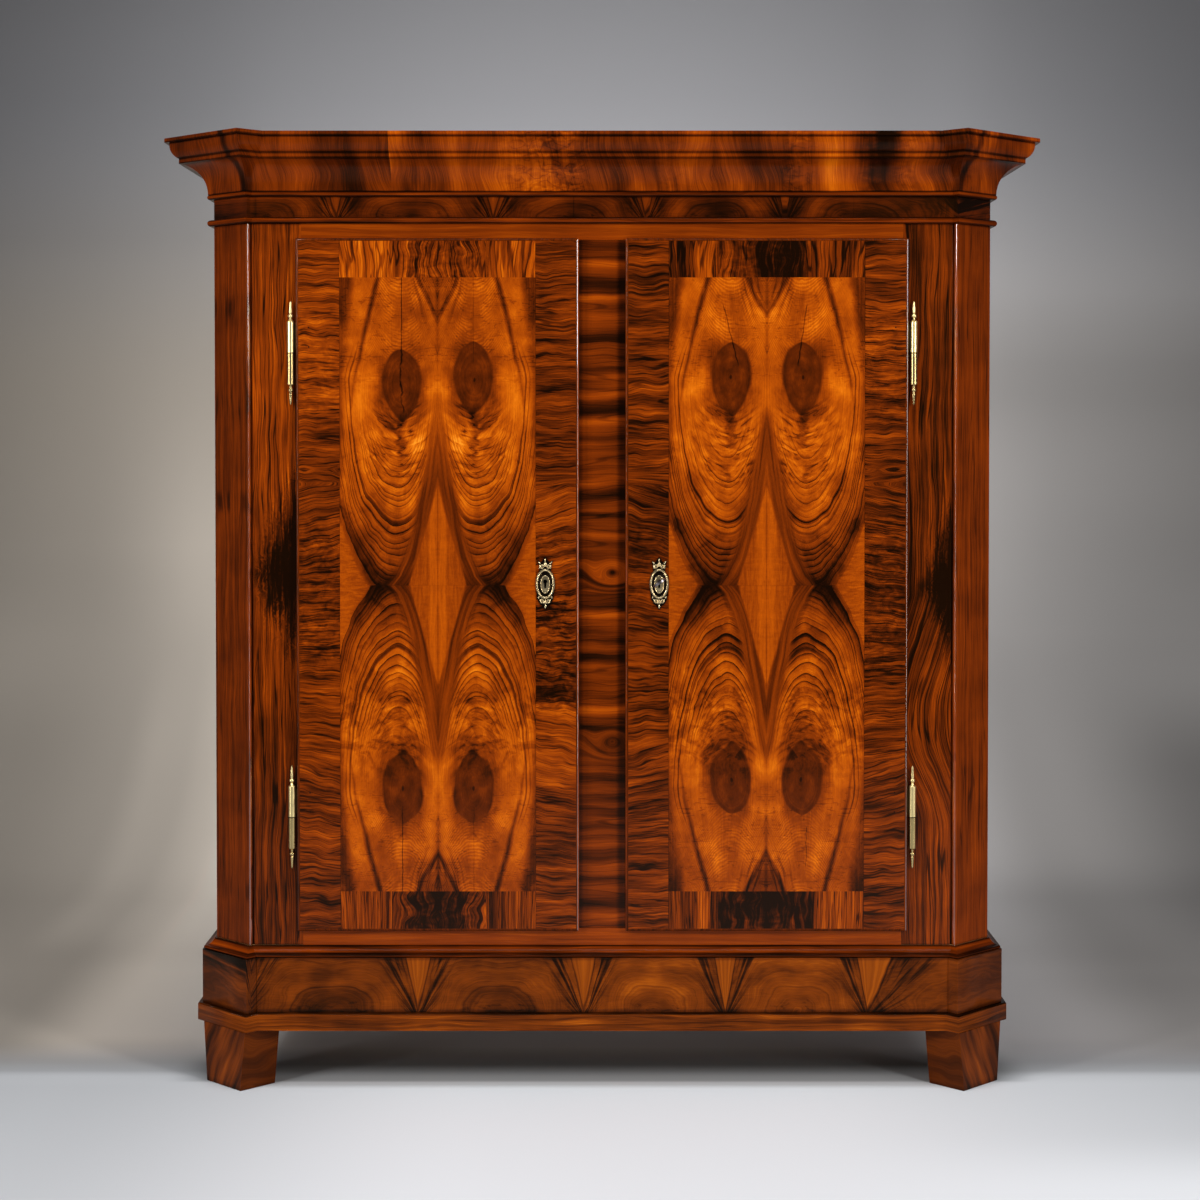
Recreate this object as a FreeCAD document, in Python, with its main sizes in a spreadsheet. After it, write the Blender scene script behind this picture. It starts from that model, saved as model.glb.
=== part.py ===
import FreeCAD, Part
import math
import os
import Sketcher

# Two-door wardrobe with canted front corners, a built-up cornice and bracket feet.
# Millimetres. X runs to the right, Y to the back, Z up.
# The origin is on the floor, in the middle of the whole piece's width and depth.

doc = FreeCAD.newDocument("Wardrobe")
sheet = doc.addObject("Spreadsheet::Sheet", "Sizes")

# Driving sizes
SIZES = [
    ("body_width", 1687, "carcass over its two sides"),
    ("body_depth", 520, "frame face to the back"),
    ("corner_cant", 83.5, "width that a canted corner takes from the front"),
    ("nose_proud", 6, "pilaster nose in front of the frame face"),
    ("nose_round", 3.5, "radius on the pilaster nose"),
    ("foot_height", 128, "feet"),
    ("foot_length", 150, "front foot along the cant, at its top"),
    ("foot_depth", 92, "feet, square to their face"),
    ("foot_reach", 38.5, "foot face outside the body line"),
    ("foot_inset", 3, "foot's top edge in from the corner line"),
    ("foot_taper_inner", 17, "draw-in of the foot's inner end"),
    ("foot_taper_outer", 11, "draw-in of the foot's outer end"),
    ("rear_foot_length", 110, "rear foot across the width, at its top"),
    ("moulding_backing", 10, "mouldings inside the body line"),
    ("mitre_margin", 5, "mitre boxes beyond the mouldings"),
    ("band_height", 37.5, "lower band of the plinth"),
    ("band_reach", 39.5, "lower band outside the body line"),
    ("band_ease", 2, "bevel on the lower band's top edge"),
    ("plinth_height", 117.5, "plinth boards"),
    ("plinth_reach", 29.5, "plinth boards outside the body line"),
    ("floor_thickness", 22, "floor board and plinth moulding"),
    ("plinth_moulding_reach", 27, "plinth moulding outside the body line"),
    ("plinth_bead_height", 6.5, "bead at the foot of the plinth moulding"),
    ("plinth_quirk", 3, "step between the bead and the hollow"),
    ("plinth_ledge", 4, "top edge of the plinth moulding"),
    ("plinth_hollow_radius", 26, "hollow of the plinth moulding"),
    ("carcass_height", 1552, "stiles, pilasters and sides"),
    ("side_thickness", 22, "side boards"),
    ("frame_thickness", 28, "stiles and rails of the front frame"),
    ("stile_width", 109, "front frame stiles"),
    ("stile_quirk_width", 4, "groove between stile and pilaster"),
    ("stile_quirk_depth", 5, "depth of that groove"),
    ("top_rail_height", 35, "front top rail"),
    ("bottom_rail_height", 36, "front bottom rail"),
    ("post_width", 128, "centre post"),
    ("post_thickness", 26, "centre post"),
    ("post_setback", 4, "post face behind the frame face"),
    ("tenon_length", 30, "rail tenons"),
    ("tenon_thickness", 9, "all tenons"),
    ("tenon_shoulder", 6, "tenon in from the ends of its rail"),
    ("tenon_setback", 8, "carcass tenon behind the frame face"),
    ("back_thickness", 12, "back boards"),
    ("back_rebate", 10, "width of the rebate for the back boards"),
    ("back_bevel", 2, "bevel on the back boards' inner edges"),
    ("back_board_count", 9, "back boards"),
    ("back_rail_height", 57, "rear top rail"),
    ("back_rail_thickness", 20, "rear top rail"),
    ("top_board_thickness", 18, "ceiling board"),
    ("lower_bead_height", 13, "bead under the frieze"),
    ("upper_bead_height", 10.5, "bead over the frieze"),
    ("bead_reach", 14, "both beads outside the body line"),
    ("frieze_height", 44.5, "frieze boards"),
    ("frieze_thickness", 18, "frieze boards"),
    ("cove_height", 65, "hollow of the cornice"),
    ("cove_foot", 12.5, "foot of the hollow outside the body line"),
    ("cove_reach", 66, "head of the hollow outside the body line"),
    ("cove_radius", 65, "radius of the hollow"),
    ("cove_seat", 20, "back edge of the crown moulding outside the body line"),
    ("cove_back_slope", 35, "height of the sloping back of the hollow"),
    ("crown_fillet_height", 11, "square under the ovolo"),
    ("crown_fillet_reach", 71, "square under the ovolo"),
    ("ovolo_height", 29, "ovolo of the cornice"),
    ("ovolo_reach", 90, "ovolo outside the body line"),
    ("ovolo_radius", 30, "ovolo of the cornice"),
    ("ovolo_neck", 4, "upright over the ovolo"),
    ("crown_top_height", 9, "top square of the cornice"),
    ("crown_reach", 100, "top square outside the body line"),
    ("hat_space", 239, "clear height between the shelf and the carcass top"),
    ("shelf_thickness", 18, "hat shelf"),
    ("shelf_setback", 12, "shelf front edge behind the canted corners"),
    ("batten_height", 30, "shelf battens"),
    ("batten_thickness", 20, "shelf battens"),
    ("hanging_rail_radius", 15, "clothes rail"),
    ("hanging_rail_drop", 80, "clothes rail under the shelf"),
    ("bracket_thickness", 18, "brackets of the clothes rail"),
    ("bracket_radius", 28, "round end of a bracket"),
    ("bracket_slack", 0.01, "round end's radius over half its width"),
    ("socket_clearance", 0.3, "clothes rail in its sockets"),
    ("door_post_lap", 14, "door over the centre post"),
    ("door_stile_lap", 10, "door over the frame stile"),
    ("door_end_lap", 3, "door over the rails"),
    ("door_lip", 18, "door in front of the frame face"),
    ("door_tongue", 12, "door behind the frame face"),
    ("door_clearance", 2, "door in its opening"),
    ("door_edge_round", 5, "round on the door's front edges"),
    ("door_edging", 6, "solid edging round the door's face"),
    ("door_stile_width", 96, "door stiles"),
    ("door_top_rail", 96, "door top rail"),
    ("door_bottom_rail", 110, "door bottom rail"),
    ("door_middle_rail", 90, "door middle rail"),
    ("door_tenon_length", 18, "door tenons, clear of the keyhole"),
    ("panel_thickness", 14, "door panels"),
    ("panel_tongue", 8, "door panels in their frame"),
    ("veneer_thickness", 1.5, "veneer leaves and bandings"),
    ("border_outer", 93.5, "banding at the hinge side"),
    ("border_inner", 92.5, "banding at the lock side"),
    ("border_top", 84, "banding at the top"),
    ("border_bottom", 86.5, "banding at the bottom"),
    ("banding_lengths", 5, "lengths in an upright banding"),
    ("hinge_inset", 245, "hinge joint from the door's end"),
    ("hinge_gap", 12, "hinge axis outside the door's edge"),
    ("barrel_radius", 7.75, "hinge barrels"),
    ("barrel_length", 69, "each half of a hinge barrel"),
    ("barrel_gap", 0.3, "between the halves of a hinge"),
    ("hinge_pin_radius", 4, "hinge pins"),
    ("hinge_pin_grip", 55, "hinge pin in each half"),
    ("hinge_pin_short", 1, "hinge pin short of its bores"),
    ("hinge_running_clearance", 0.05, "hinge pin in the door's half"),
    ("finial_length", 42, "turned ends of the hinges"),
    ("finial_ball_radius", 5, "ball of a finial"),
    ("finial_neck_radius", 2.7, "necks of a finial"),
    ("finial_spire_radius", 3.4, "spire of a finial"),
    ("finial_tip_radius", 2.1, "tip of a finial"),
    ("finial_collar", 1, "step of a finial over its barrel"),
    ("finial_ball_flat", 0.5, "ball's ends short of its radius"),
    ("barrel_chamfer", 2, "eased end of a barrel"),
    ("leaf_thickness", 2.5, "hinge leaves"),
    ("leaf_inset", 8, "leaf from the hinge joint"),
    ("leaf_height", 53, "hinge leaves"),
    ("door_leaf_reach", 47, "door leaf from the hinge axis"),
    ("frame_leaf_reach", 33, "frame leaf from the hinge axis"),
    ("leaf_pin_radius", 1.6, "pins through a door leaf"),
    ("leaf_pin_inset", 28, "pins from the door's edge"),
    ("leaf_pin_first", 12.5, "first pin from the hinge joint"),
    ("leaf_pin_spacing", 42, "between the pins"),
    ("leaf_pin_length", 15, "pins"),
    ("lock_height", 753, "key axis over the door's lower edge"),
    ("lock_inset", 72, "key axis from the door's free edge"),
    ("lock_edge_gap", 17, "lock case from the door's free edge"),
    ("lock_case_length", 88, "lock case"),
    ("lock_case_height", 84, "lock case"),
    ("lock_case_below", 40, "lock case under the key axis"),
    ("lock_case_depth", 16, "lock case"),
    ("lock_wall", 2, "walls of the lock case"),
    ("bolt_thickness", 6, "bolt"),
    ("bolt_height", 16, "bolt"),
    ("bolt_length", 76, "bolt"),
    ("bolt_lift", 6, "bolt over the key axis"),
    ("bolt_throw", 12, "travel of the bolt"),
    ("bolt_clearance", 0.3, "bolt in its slots"),
    ("bolt_setback", 4, "bolt behind the lock plate"),
    ("bolt_end_room", 2, "mortise beyond the thrown bolt"),
    ("talon_width", 12, "notch in the bolt for the key"),
    ("talon_height", 7.2, "notch in the bolt for the key"),
    ("guide_pin_radius", 1.8, "guide pin of the bolt"),
    ("guide_pin_inset", 30, "guide pin from the case's edge"),
    ("keyhole_radius", 4.5, "keyhole head"),
    ("keyhole_slot_width", 4.4, "keyhole slot"),
    ("keyhole_drop", 14, "keyhole slot under the key axis"),
    ("strike_thickness", 1.5, "strike plates"),
    ("strike_border", 7, "strike plate round its slot"),
    ("shank_radius", 2.7, "key shank"),
    ("key_collar_radius", 4.3, "collar between key shank and bow"),
    ("key_reach", 27, "key shank in front of the door's face"),
    ("bit_radius", 12.5, "key bit from the key axis"),
    ("bit_width", 8, "key bit along the key"),
    ("bit_thickness", 3, "key bit"),
    ("key_rest_angle", 55, "key bit from upright, in degrees"),
    ("bow_height", 15, "half height of the key bow"),
    ("bow_length", 12, "half length of the key bow"),
    ("bow_bar", 4.2, "bar of the key bow"),
    ("plate_height", 32.5, "half height of the escutcheon oval"),
    ("plate_width", 20.5, "half width of the escutcheon oval"),
    ("plate_thickness", 1.6, "escutcheon plate"),
    ("plate_rim", 5, "raised rim of the escutcheon"),
    ("plate_rim_height", 3, "raised rim of the escutcheon"),
    ("plate_dome_height", 3.6, "dome inside the rim"),
    ("ornament_thickness", 2.2, "crest and drop of the escutcheon"),
    ("boss_radius", 4.6, "round bosses of the crest and the drop"),
    ("boss_inset", 7, "bosses from the escutcheon's middle"),
    ("dome_gap", 1, "dome's edge inside the rim"),
    ("plate_crest", 58, "tip of the crest from the oval's middle"),
    ("plate_drop", 56, "tip of the drop from the oval's middle"),
    ("plate_lower", 5, "oval's middle under the key axis"),
]


class Size:
    """A length that keeps its formula over the sheet and its value for first guesses."""

    def __init__(self, formula, value):
        self.formula = formula
        self.value = value

    def __add__(self, other):
        other = as_size(other)
        return Size(f"({self.formula} + {other.formula})", self.value + other.value)

    def __sub__(self, other):
        other = as_size(other)
        return Size(f"({self.formula} - {other.formula})", self.value - other.value)

    def __mul__(self, factor):
        factor = as_size(factor)
        return Size(f"({self.formula} * {factor.formula})", self.value * factor.value)

    def __truediv__(self, divisor):
        divisor = as_size(divisor)
        return Size(f"({self.formula} / {divisor.formula})", self.value / divisor.value)

    def __neg__(self):
        return Size(f"(-1 * {self.formula})", -self.value)


def as_size(number):
    """A plain number as a Size, so that both can stand in one formula."""
    return number if isinstance(number, Size) else Size(f"{number:g}", number)


class SheetSizes:
    """The sheet's cells by name, such as sizes.body_width."""

    def __getattr__(self, alias):
        return Size(f"Sizes.{alias}", float(sheet.get(alias)))


for row, (alias, number, note) in enumerate(SIZES, start=1):
    sheet.set(f"A{row}", note)
    sheet.set(f"B{row}", str(number))
    sheet.setAlias(f"B{row}", alias)
doc.recompute()
sizes = SheetSizes()

NOTHING = as_size(0)
ROOT_TWO = Size("sqrt(2)", math.sqrt(2))
MITRE = Size("(sqrt(2) - 1)", math.sqrt(2) - 1)

# Round noses: radius and depth as shares of the nose's height
NOSE_RADIUS = as_size(0.52)
NOSE_DEPTH = as_size(0.52 - math.sqrt(0.52 ** 2 - 0.5 ** 2))

# Escutcheon ornament: shares of the oval's half width and of the tip's height
CREST_SHARES = [(0.62, 0.42), (0.6, 0.62), (0.8, 0.87), (0.5, 0.77), (0.25, 0.88), (0, 1)]
DROP_SHARES = [(0.95, 0.25), (0.85, 0.58), (0.55, 0.78), (0.3, 0.84), (0, 1)]

# Turned finials: heights over the barrel as shares of the finial's length
FINIAL_NECK = 0.1
FINIAL_BALL = 0.24
FINIAL_SWELL = 0.42
FINIAL_SHOULDER = 0.5
FINIAL_TIP = 0.92

# Heights, from the floor up
band_z = sizes.foot_height
plinth_z = band_z + sizes.band_height
floor_z = plinth_z + sizes.plinth_height
carcass_z = floor_z + sizes.floor_thickness
head_z = carcass_z + sizes.carcass_height
frieze_z = head_z + sizes.lower_bead_height
upper_bead_z = frieze_z + sizes.frieze_height
cove_z = upper_bead_z + sizes.upper_bead_height
crown_z = cove_z + sizes.cove_height
crown_height = sizes.crown_fillet_height + sizes.ovolo_height + sizes.ovolo_neck + sizes.crown_top_height
top_z = crown_z + crown_height
opening_low_z = carcass_z + sizes.bottom_rail_height
opening_high_z = head_z - sizes.top_rail_height

# Plan of the front. The body line is the face of the sides, the cants and the frame.
half_width = sizes.body_width / 2
nose_x = half_width - sizes.corner_cant
nose_reach = sizes.nose_proud + ROOT_TWO * sizes.crown_reach
frame_y = (nose_reach - sizes.body_depth) / 2
back_y = frame_y + sizes.body_depth
post_side_x = sizes.post_width / 2


def side_x(reach):
    """Side face that lies outside the body line by this reach."""
    return half_width + reach


def front_y(reach):
    """Front face that lies outside the body line by this reach."""
    return frame_y - reach


def nose_y(reach):
    """Point of the canted corner's nose at this reach."""
    return frame_y - sizes.nose_proud - ROOT_TWO * reach


def cant_y(reach):
    """Where the cant meets the side at this reach."""
    return frame_y + sizes.corner_cant - sizes.nose_proud - MITRE * reach


def return_x(reach):
    """Where the front meets the short return of the nose at this reach."""
    return nose_x - sizes.nose_proud - MITRE * reach


def right_corner(reach):
    """Plan line of the right side, from the back to the front, at this reach."""
    return [
        (side_x(reach), back_y),
        (side_x(reach), cant_y(reach)),
        (nose_x, nose_y(reach)),
        (return_x(reach), front_y(reach)),
    ]


def mirrored_points(points):
    """The same plan points on the left, in reverse order."""
    return [(-x, y) for x, y in reversed(points)]


opening_x = return_x(NOTHING) - sizes.stile_width


# Drawing helpers
def bind(item, **properties):
    """Tie each named property of an object to its formula."""
    for name, size in properties.items():
        item.setExpression(name, as_size(size).formula)


def move_to(item, x, y, z):
    """Tie an object's place to three formulas."""
    for axis, size in zip("xyz", (x, y, z)):
        item.setExpression(f"Placement.Base.{axis}", as_size(size).formula)


def outline(sketch, corners, closed=True):
    """Line through corners (across, up), or (across, up, radius) where an arc leaves the corner.

    A positive radius bulges to the right of the way the line runs, a negative one to the left.
    """
    count = len(corners)
    edges = count if closed else count - 1
    points = [FreeCAD.Vector(corner[0].value, corner[1].value, 0) for corner in corners]
    starts = []
    for number in range(edges):
        first = points[number]
        second = points[(number + 1) % count]
        radius = corners[number][2] if len(corners[number]) > 2 else None
        if radius is None:
            sketch.addGeometry(Part.LineSegment(first, second), False)
            starts.append(1)
            continue
        chord = second - first
        size = abs(radius.value)
        rise = size - math.sqrt(max(size ** 2 - chord.Length ** 2 / 4, 0))
        right = FreeCAD.Vector(chord.y, -chord.x, 0).normalize()
        side = 1 if radius.value > 0 else -1
        middle = (first + second) / 2 + right * rise * side
        sketch.addGeometry(Part.Arc(first, middle, second), False)
        starts.append(1 if side > 0 else 2)
    for number in range(0 if closed else 1, edges):
        before = (number - 1) % edges
        joint = Sketcher.Constraint("Coincident", before, 3 - starts[before], number, starts[number])
        sketch.addConstraint(joint)
    for number, corner in enumerate(corners):
        inside = number < edges
        edge = number if inside else edges - 1
        end = starts[edge] if inside else 3 - starts[edge]
        for kind, size in (("DistanceX", corner[0]), ("DistanceY", corner[1])):
            index = sketch.addConstraint(Sketcher.Constraint(kind, -1, 1, edge, end, size.value))
            sketch.setExpression(f"Constraints[{index}]", size.formula)
        if len(corner) > 2:
            radius = corner[2] if corner[2].value > 0 else -corner[2]
            index = sketch.addConstraint(Sketcher.Constraint("Radius", edge, radius.value))
            sketch.setExpression(f"Constraints[{index}]", radius.formula)


def origin_feature(body, role):
    """One of the body's own origin planes or axes."""
    return next(item for item in body.Origin.OriginFeatures if item.Role == role)


def drawn(body, name, role, corners, lift=NOTHING, closed=True):
    """A sketch on one of the body's planes, lifted along the plane's normal."""
    sketch = body.newObject("Sketcher::SketchObject", name)
    sketch.AttachmentSupport = [(origin_feature(body, role), "")]
    sketch.MapMode = "FlatFace"
    bind(sketch, **{"AttachmentOffset.Base.z": lift})
    outline(sketch, corners, closed)
    return sketch


def new_body(label):
    """An empty body under its own name."""
    body = doc.addObject("PartDesign::Body", label)
    body.Label = label
    return body


def pad(body, sketch, length, backwards=False):
    """Pad a sketch by a formula."""
    feature = body.newObject("PartDesign::Pad", f"{sketch.Name}_pad")
    feature.Profile = sketch
    feature.Reversed = backwards
    bind(feature, Length=length)
    return feature


def pocket(body, sketch, length, backwards=False):
    """Sink a sketch into the body by a formula."""
    feature = body.newObject("PartDesign::Pocket", f"{sketch.Name}_pocket")
    feature.Profile = sketch
    feature.Reversed = backwards
    bind(feature, Length=length)
    return feature


def rounded(body, edges, radius):
    """Fillet the named edges of the body's last feature."""
    base = body.Tip
    feature = body.newObject("PartDesign::Fillet", f"{body.Name}_round")
    feature.Base = (base, edges)
    bind(feature, Radius=radius)
    return feature


def slab(label, corners, z, height):
    """A board cut to a plan outline."""
    body = new_body(label)
    pad(body, drawn(body, f"{label}_outline", "XY_Plane", corners, z), height)
    return body


def box(name, x, y, z):
    """A squared piece between pairs of formulas."""
    item = doc.addObject("Part::Box", name)
    item.Label = name
    bind(item, Length=x[1] - x[0], Width=y[1] - y[0], Height=z[1] - z[0])
    move_to(item, x[0], y[0], z[0])
    return item


def rod(name, radius, length, base, axis):
    """A round piece of a given length, along Z, Y or X from its base."""
    turns = {
        "z": FreeCAD.Rotation(),
        "y": FreeCAD.Rotation(FreeCAD.Vector(1, 0, 0), -90),
        "x": FreeCAD.Rotation(FreeCAD.Vector(0, 1, 0), 90),
    }
    item = doc.addObject("Part::Cylinder", name)
    item.Placement = FreeCAD.Placement(FreeCAD.Vector(), turns[axis])
    bind(item, Radius=radius, Height=length)
    move_to(item, *base)
    return item


def cut(name, base, *tools):
    """Base less every tool."""
    for number, tool in enumerate(tools, start=1):
        item = doc.addObject("Part::Cut", f"{name}_{number}" if number < len(tools) else name)
        item.Base = base
        item.Tool = tool
        base = item
    base.Label = name
    return base


def fuse(name, *pieces):
    """One solid of several pieces."""
    item = doc.addObject("Part::MultiFuse", name)
    item.Shapes = list(pieces)
    item.Label = name
    return item


def common(name, first, second):
    """What two pieces share."""
    item = doc.addObject("Part::Common", name)
    item.Base = first
    item.Tool = second
    item.Label = name
    return item


def group(label, pieces):
    """Several separate solids as one sub-part."""
    item = doc.addObject("Part::Compound", label)
    item.Links = list(pieces)
    item.Label = label
    return item


def mirrored(label, source):
    """The same piece on the other side of the middle plane."""
    item = doc.addObject("Part::Mirroring", label)
    item.Source = source
    item.Normal = FreeCAD.Vector(1, 0, 0)
    item.Label = label
    return item


# Mitre boxes: the plan of each run of moulding, between its two mitre planes
def mitre_boxes():
    """Right side, right cant, right return and front."""
    inner = right_corner(-(sizes.moulding_backing + sizes.mitre_margin))
    outer = right_corner(sizes.crown_reach + sizes.mitre_margin)
    height = top_z + sizes.mitre_margin
    boxes = []
    for run, name in enumerate(("side", "cant", "return")):
        corners = [inner[run], outer[run], outer[run + 1], inner[run + 1]]
        boxes.append(slab(f"mitre_{name}", corners, NOTHING, height))
    front = [inner[3], outer[3]] + mirrored_points([inner[3], outer[3]])
    boxes.append(slab("mitre_front", front, NOTHING, height))
    return boxes


def moulding(label, profile, boxes):
    """A moulding in seven mitred runs. The profile's points are (outside the body line, height)."""
    stock = new_body(f"{label}_stock")
    section = [(side_x(corner[0]), *corner[1:]) for corner in profile]
    path = right_corner(NOTHING) + mirrored_points(right_corner(NOTHING))
    pipe = stock.newObject("PartDesign::AdditivePipe", f"{label}_pipe")
    pipe.Profile = drawn(stock, f"{label}_profile", "XZ_Plane", section, -back_y)
    pipe.Spine = (drawn(stock, f"{label}_path", "XY_Plane", path, closed=False), [])
    pipe.Mode = "Standard"
    pipe.Transition = "Right corner"
    stock.Tip = pipe
    right_runs = [common(f"{label}_{box.Label}", stock, box) for box in boxes]
    left_runs = [mirrored(f"{run.Label}_left", run) for run in right_runs[:3]]
    return group(label, right_runs + left_runs)


def round_nose(reach, z, height):
    """A nearly half-round nose, as one arc from its foot to its head."""
    start = reach - height * NOSE_DEPTH
    return [(start, z, height * NOSE_RADIUS), (start, z + height)]


def bead_profile(z, height):
    """A strip with a half-round nose."""
    back = -sizes.moulding_backing
    return [(back, z), *round_nose(sizes.bead_reach, z, height), (back, z + height)]


def band_profile():
    """The plinth's lower band, with its top edge eased."""
    high = band_z + sizes.band_height
    return [
        (-sizes.moulding_backing, band_z),
        (sizes.band_reach, band_z),
        (sizes.band_reach, high - sizes.band_ease),
        (sizes.band_reach - sizes.band_ease, high),
        (-sizes.moulding_backing, high),
    ]


def plinth_moulding_profile():
    """A bead with a hollow over it."""
    bead_top = floor_z + sizes.plinth_bead_height
    hollow_start = sizes.plinth_moulding_reach - sizes.plinth_bead_height / 2 - sizes.plinth_quirk
    return [
        (NOTHING, floor_z),
        *round_nose(sizes.plinth_moulding_reach, floor_z, sizes.plinth_bead_height),
        (hollow_start, bead_top, -sizes.plinth_hollow_radius),
        (sizes.plinth_ledge, carcass_z),
        (NOTHING, carcass_z),
    ]


def cove_profile():
    """The cornice's large hollow, with a sloping back."""
    head = cove_z + sizes.cove_height
    return [
        (-sizes.moulding_backing, cove_z),
        (sizes.cove_foot, cove_z, -sizes.cove_radius),
        (sizes.cove_reach, head),
        (sizes.cove_seat, head),
        (-sizes.moulding_backing, head - sizes.cove_back_slope),
    ]


def crown_profile():
    """A square, an ovolo, and the top square of the cornice."""
    ovolo_z = crown_z + sizes.crown_fillet_height
    neck_z = ovolo_z + sizes.ovolo_height
    square_z = neck_z + sizes.ovolo_neck
    return [
        (sizes.cove_seat, crown_z),
        (sizes.crown_fillet_reach, crown_z),
        (sizes.crown_fillet_reach, ovolo_z, sizes.ovolo_radius),
        (sizes.ovolo_reach, neck_z),
        (sizes.ovolo_reach, square_z),
        (sizes.crown_reach, square_z),
        (sizes.crown_reach, top_z),
        (sizes.cove_seat, top_z),
    ]


def corner_block(label, reach, side_depth, front_depth, z, height):
    """The canted corner between a front board and a side board."""
    corners = [
        (return_x(reach), front_y(reach)),
        (nose_x, nose_y(reach)),
        (side_x(reach), cant_y(reach)),
        (side_x(reach) - side_depth, cant_y(reach)),
        (return_x(reach), front_y(reach) + front_depth),
    ]
    return slab(label, corners, z, height)


# Base
def front_foot(label):
    """A tapered block set square to the cant."""
    body = new_body(label)
    top_start = sizes.foot_inset
    top_end = top_start + sizes.foot_length
    corners = [
        (top_start + sizes.foot_taper_inner, NOTHING),
        (top_end - sizes.foot_taper_outer, NOTHING),
        (top_end, sizes.foot_height),
        (top_start, sizes.foot_height),
    ]
    pad(body, drawn(body, f"{label}_outline", "XZ_Plane", corners), sizes.foot_depth, backwards=True)
    body.Placement = FreeCAD.Placement(FreeCAD.Vector(), FreeCAD.Rotation(FreeCAD.Vector(0, 0, 1), 45))
    move_to(body, nose_x, nose_y(sizes.foot_reach), NOTHING)
    return body


def rear_foot(label):
    """A tapered block flush with the back."""
    body = new_body(label)
    outer = side_x(sizes.foot_reach)
    inner = outer - sizes.rear_foot_length
    corners = [
        (inner + sizes.foot_taper_inner, NOTHING),
        (outer - sizes.foot_taper_outer, NOTHING),
        (outer, sizes.foot_height),
        (inner, sizes.foot_height),
    ]
    pad(body, drawn(body, f"{label}_outline", "XZ_Plane", corners), sizes.foot_depth)
    move_to(body, NOTHING, back_y, NOTHING)
    return body


def board_ring(name, reach, thickness, z, height):
    """Front board, right corner with right side board, and their left copies."""
    high = z + height
    front_x = return_x(reach)
    front_depth = (front_y(reach), front_y(reach) + thickness)
    front = box(f"{name}_front", (-front_x, front_x), front_depth, (z, high))
    corner = corner_block(f"{name}_corner", reach, thickness, thickness, z, height)
    outer = side_x(reach)
    side = box(f"{name}_side", (outer - thickness, outer), (cant_y(reach), back_y), (z, high))
    right = group(f"{name}_right", [corner, side])
    left = group(f"{name}_left", [mirrored(f"{item.Label}_left", item) for item in (corner, side)])
    return [front, right, left]


def base_parts(boxes):
    """Feet, band, plinth, plinth moulding and floor board."""
    foot_right = front_foot("foot_front_right")
    foot_rear = rear_foot("foot_rear_block")
    thickness = sizes.plinth_reach + sizes.moulding_backing
    inner_x = side_x(sizes.plinth_reach) - thickness
    right_side = right_corner(NOTHING)
    return [
        foot_right,
        mirrored("foot_front_left", foot_right),
        group("feet_rear", [foot_rear, mirrored("foot_rear_block_left", foot_rear)]),
        moulding("plinth_band", band_profile(), boxes),
        *board_ring("plinth", sizes.plinth_reach, thickness, plinth_z, sizes.plinth_height),
        box("plinth_rear", (-inner_x, inner_x), (back_y - thickness, back_y), (plinth_z, floor_z)),
        moulding("plinth_moulding", plinth_moulding_profile(), boxes),
        slab("floor_board", right_side + mirrored_points(right_side), floor_z, sizes.floor_thickness),
    ]


# Carcass
frame_depth = (frame_y, frame_y + sizes.frame_thickness)


def tenon_span(low, high):
    """A tenon's extent between the two shoulders of its rail."""
    return (low + sizes.tenon_shoulder, high - sizes.tenon_shoulder)


def frame_tenon(name, x, z):
    """A tenon of the front frame, behind the frame face."""
    y = frame_y + sizes.tenon_setback
    return box(name, x, (y, y + sizes.tenon_thickness), z)


def rail_tenon(name, low, high):
    """The right-hand tenon of a front rail."""
    return frame_tenon(name, (opening_x, opening_x + sizes.tenon_length), tenon_span(low, high))


def post_tenon(name, z):
    """An end tenon of the centre post."""
    half = post_side_x - sizes.tenon_shoulder
    return frame_tenon(name, (-half, half), z)


def frame_stile(right_hinge_slots):
    """The right stile: quirk at the pilaster, mortises for the rails, slots for the hinge leaves."""
    outer = return_x(NOTHING)
    blank = box("stile_blank", (opening_x, outer), frame_depth, (carcass_z, head_z))
    quirk = box(
        "stile_quirk",
        (outer - sizes.stile_quirk_width, outer),
        (frame_y, frame_y + sizes.stile_quirk_depth),
        (carcass_z, head_z),
    )
    top = rail_tenon("stile_mortise_top", opening_high_z, head_z)
    bottom = rail_tenon("stile_mortise_bottom", carcass_z, opening_low_z)
    return cut("stile_right", blank, quirk, top, bottom, *right_hinge_slots)


def frame_rail(label, low, high, post_z):
    """A front rail with a tenon at each end and a mortise for the post."""
    blank = box(f"{label}_blank", (-opening_x, opening_x), frame_depth, (low, high))
    right = rail_tenon(f"{label}_tenon", low, high)
    left = mirrored(f"{label}_tenon_left", right)
    return cut(label, fuse(f"{label}_whole", blank, right, left), post_tenon(f"{label}_mortise", post_z))


def post_tenon_heights():
    """How far the post's tenons reach into the bottom and the top rail."""
    depth = sizes.bottom_rail_height / 2
    return (opening_low_z - depth, opening_low_z), (opening_high_z, opening_high_z + depth)


def centre_post(strike, mortise):
    """The post between the doors, with plates and mortises for both bolts."""
    face = frame_y + sizes.post_setback
    depth = (face, face + sizes.post_thickness)
    bottom, top = post_tenon_heights()
    whole = fuse(
        "post_whole",
        box("post_blank", (-post_side_x, post_side_x), depth, (opening_low_z, opening_high_z)),
        post_tenon("post_tenon_low", bottom),
        post_tenon("post_tenon_high", top),
    )
    tools = [strike, mortise]
    tools += [mirrored(f"{tool.Label}_left", tool) for tool in tools]
    return cut("centre_post", whole, *tools)


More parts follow.
